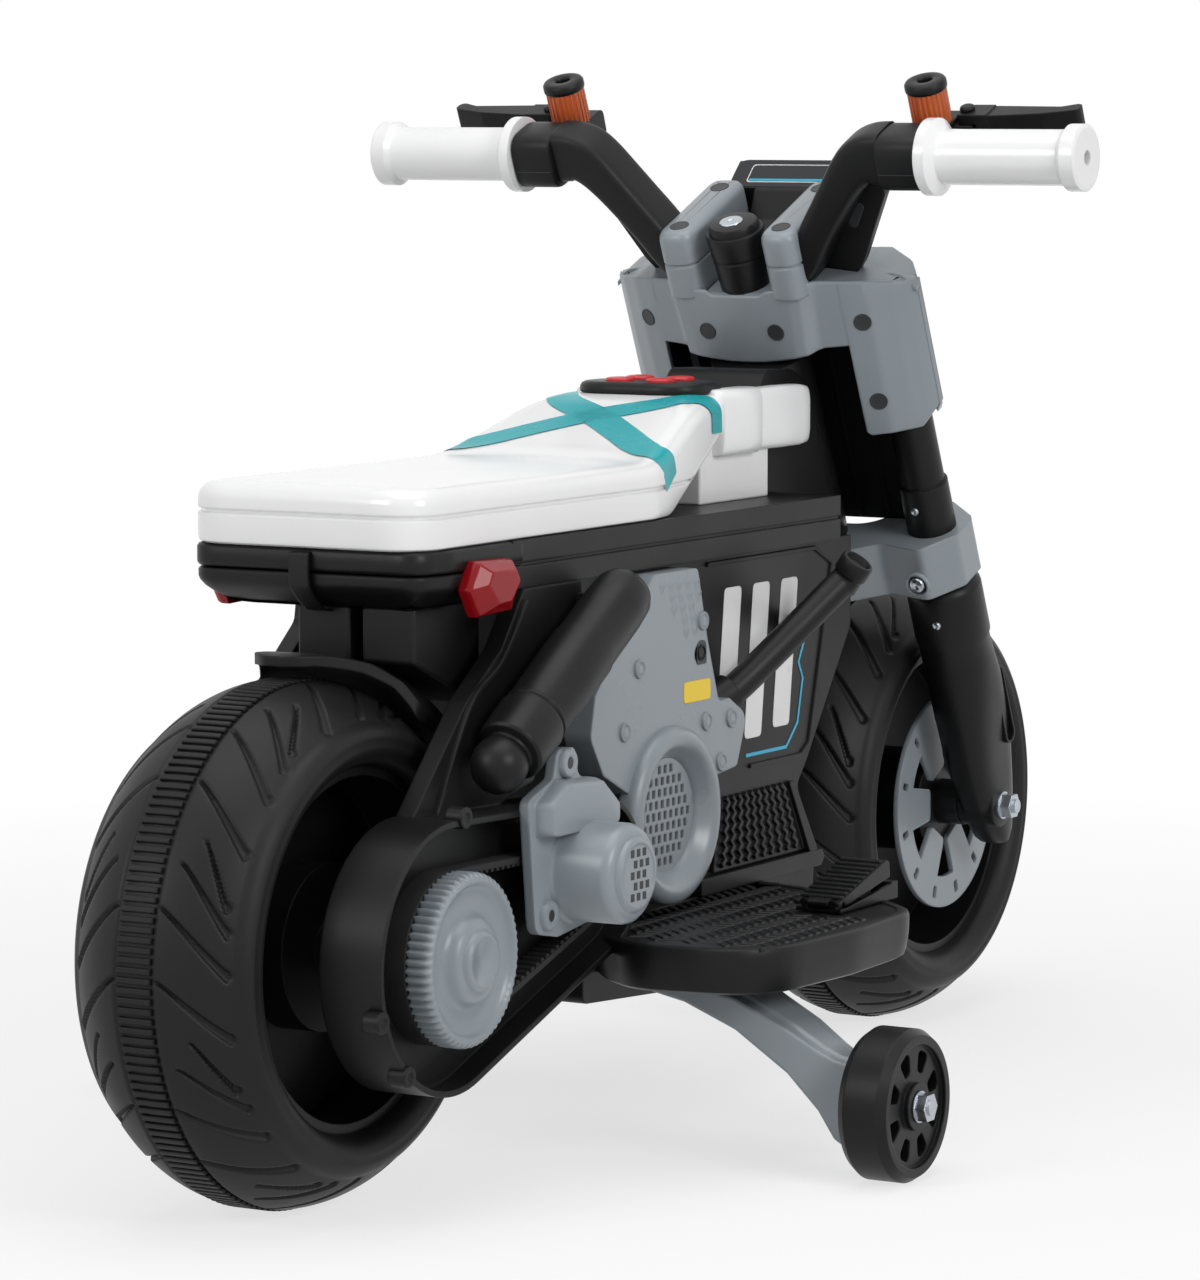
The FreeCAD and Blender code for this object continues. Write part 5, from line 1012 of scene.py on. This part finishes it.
# Rear fender: domed shell hugging the tyre crown, skirts over both shoulders.
fender_outer = ([0, 18, 32, 41, 47], [141, 140.6, 138, 132.5, 124])
fender_inner = ([0, 17, 30, 38.6, 44.4, 47], [136, 135.6, 133, 128.6, 121, 116])
fender_loops = []
for a in np.radians(np.linspace(40, 94, 54)):
    half = float(np.interp(-axle_x + 140 * cos(a), [-324, -318, -257, -204], [4, 14, 47, 47]))
    across = np.linspace(-half, half, 25)
    section = [(y, float(np.interp(abs(y), *fender_outer))) for y in across]
    section += [(y, float(np.interp(abs(y), *fender_inner))) for y in across[::-1]]
    fender_loops.append([(-axle_x + r * cos(a), y, axle_z + r * sin(a)) for y, r in section])
foot_outline = [(-278, 291), (-278, 264), (-250, 252), (-217, 239), (-217, 291)]
fender_feet = [prism(foot_outline, to_left, near, far) for near, far in ((-15, 15), (-52, -22))]
piece("fender_shell", loft(fender_loops), black_pp, "frame", ("rear_fender",), crease=40)
piece("fender_feet", joined(*fender_feet), black_pp, "frame", ("rear_fender",), ease=1.5)

# Belt case: lugs and pegs on the rim, ribs along the arm.
case_lugs = [turned([(5.4, -8), (5.4, 0.8), (4.9, 1.3), (2.6, 1.3), (2.2, 0.6), (0.01, 0.4)], (x, -96.3, z),
    RIGHT, 28) for x, z in ((-304, 195.5), (-378.5, 108), (-356, 79))]
case_pegs = [turned([(2.2, -8), (2.2, 3.2), (1.8, 3.8), (0.01, 4)], (x, -90, z), RIGHT, 20)
    for x, z in ((-249, 188), (-216, 118))]
rib_paths = ([(-300, 180), (-262, 242), (-232, 262), (-208, 290)], [(-206, 204), (-160, 262), (-156, 290)])
rib_section = [(-2, -1.5), (2, -1.5), (1.4, 2.6), (-1.4, 2.6)]
arm_ribs = [swept(curve([(a, -72, b) for a, b in path], 6), rib_section, RIGHT) for path in rib_paths]
piece("belt_case_lugs", joined(*case_lugs, *case_pegs, *arm_ribs), black_pp, "frame", crease=30)

# Camera, floor, light.
eye = Vector((-2.4320, -1.3966, 0.5367))
yaw, pitch = radians(29.951), radians(-5.864)
look = Vector((cos(yaw) * cos(pitch), sin(yaw) * cos(pitch), sin(pitch)))
lens = bpy.data.cameras.new("camera")
lens.lens = 148.73
lens.sensor_width = 36.0
lens.clip_end = 100.0
camera = bpy.data.objects.new("camera", lens)
camera.location = eye
camera.rotation_euler = look.to_track_quat("-Z", "Y").to_euler()
bpy.context.scene.collection.objects.link(camera)
bpy.context.scene.camera = camera


def light_path_white(tree):
    """White to the eye, to mirrors and to clear plastic; the plain lit surface to everything else."""
    path = wire(tree, "LightPath")
    first = wire(tree, "Math", {"operation": "MAXIMUM"},
        {0: (path, "Is Camera Ray"), 1: (path, "Is Glossy Ray")})
    return wire(tree, "Math", {"operation": "MAXIMUM"}, {0: (first, 0), 1: (path, "Is Transmission Ray")})


world = bpy.data.worlds.new("studio")
world.use_nodes = True
world.node_tree.nodes.clear()
seen = light_path_white(world.node_tree)
dim = wire(world.node_tree, "Background", None, {"Color": (1, 1, 1, 1), "Strength": 0.27})
white = wire(world.node_tree, "Background", None, {"Color": (1, 1, 1, 1), "Strength": 1.0})
mixed = wire(world.node_tree, "MixShader", None, {0: (seen, 0), 1: (dim, 0), 2: (white, 0)})
wire(world.node_tree, "OutputWorld", None, {"Surface": (mixed, 0)})
bpy.context.scene.world = world

floor_paper = bpy.data.materials.new("white_paper_floor")
floor_paper.use_nodes = True
tree = floor_paper.node_tree
tree.nodes.clear()
paper = wire(tree, "BsdfDiffuse", None, {"Color": linear("#f7f7f7")})
glow = wire(tree, "Emission", None, {"Color": (1, 1, 1, 1), "Strength": 1.0})
where = wire(tree, "TexCoord")
spread = wire(tree, "VectorMath", {"operation": "LENGTH"}, {0: (where, "Object")})
near = wire(tree, "MapRange", None, {"Value": (spread, "Value"), "From Min": 0.35, "From Max": 1.3,
    "To Min": 0.3, "To Max": 0.0})
pale = wire(tree, "MixShader", None, {0: (near, "Result"), 1: (glow, 0), 2: (paper, 0)})
seen = light_path_white(tree)
both = wire(tree, "MixShader", None, {0: (seen, 0), 1: (paper, 0), 2: (pale, 0)})
wire(tree, "OutputMaterial", None, {"Surface": (both, 0)})
floor_mesh = bpy.data.meshes.new("floor")
floor_mesh.from_pydata([(-6, -6, 0), (6, -6, 0), (6, 6, 0), (-6, 6, 0)], [], [(0, 1, 2, 3)])
floor_mesh.materials.append(floor_paper)
floor = bpy.data.objects.new("floor", floor_mesh)
bpy.context.scene.collection.objects.link(floor)

lamp_target = Vector((0, 0, 0.25))
for name, place, size, power in (("overhead_softbox", (-0.3, -0.2, 2.2), 1.8, 21),
        ("side_softbox", (-0.9, -2.5, 1.5), 1.0, 28), ("rear_softbox", (-2.6, 0.9, 1.5), 1.0, 20)):
    lamp = bpy.data.lights.new(name, "AREA")
    lamp.size = size
    lamp.energy = power
    lamp_object = bpy.data.objects.new(name, lamp)
    lamp_object.location = place
    lamp_object.rotation_euler = (lamp_target - Vector(place)).to_track_quat("-Z", "Y").to_euler()
    bpy.context.scene.collection.objects.link(lamp_object)

bpy.context.scene.view_settings.view_transform = "Standard"
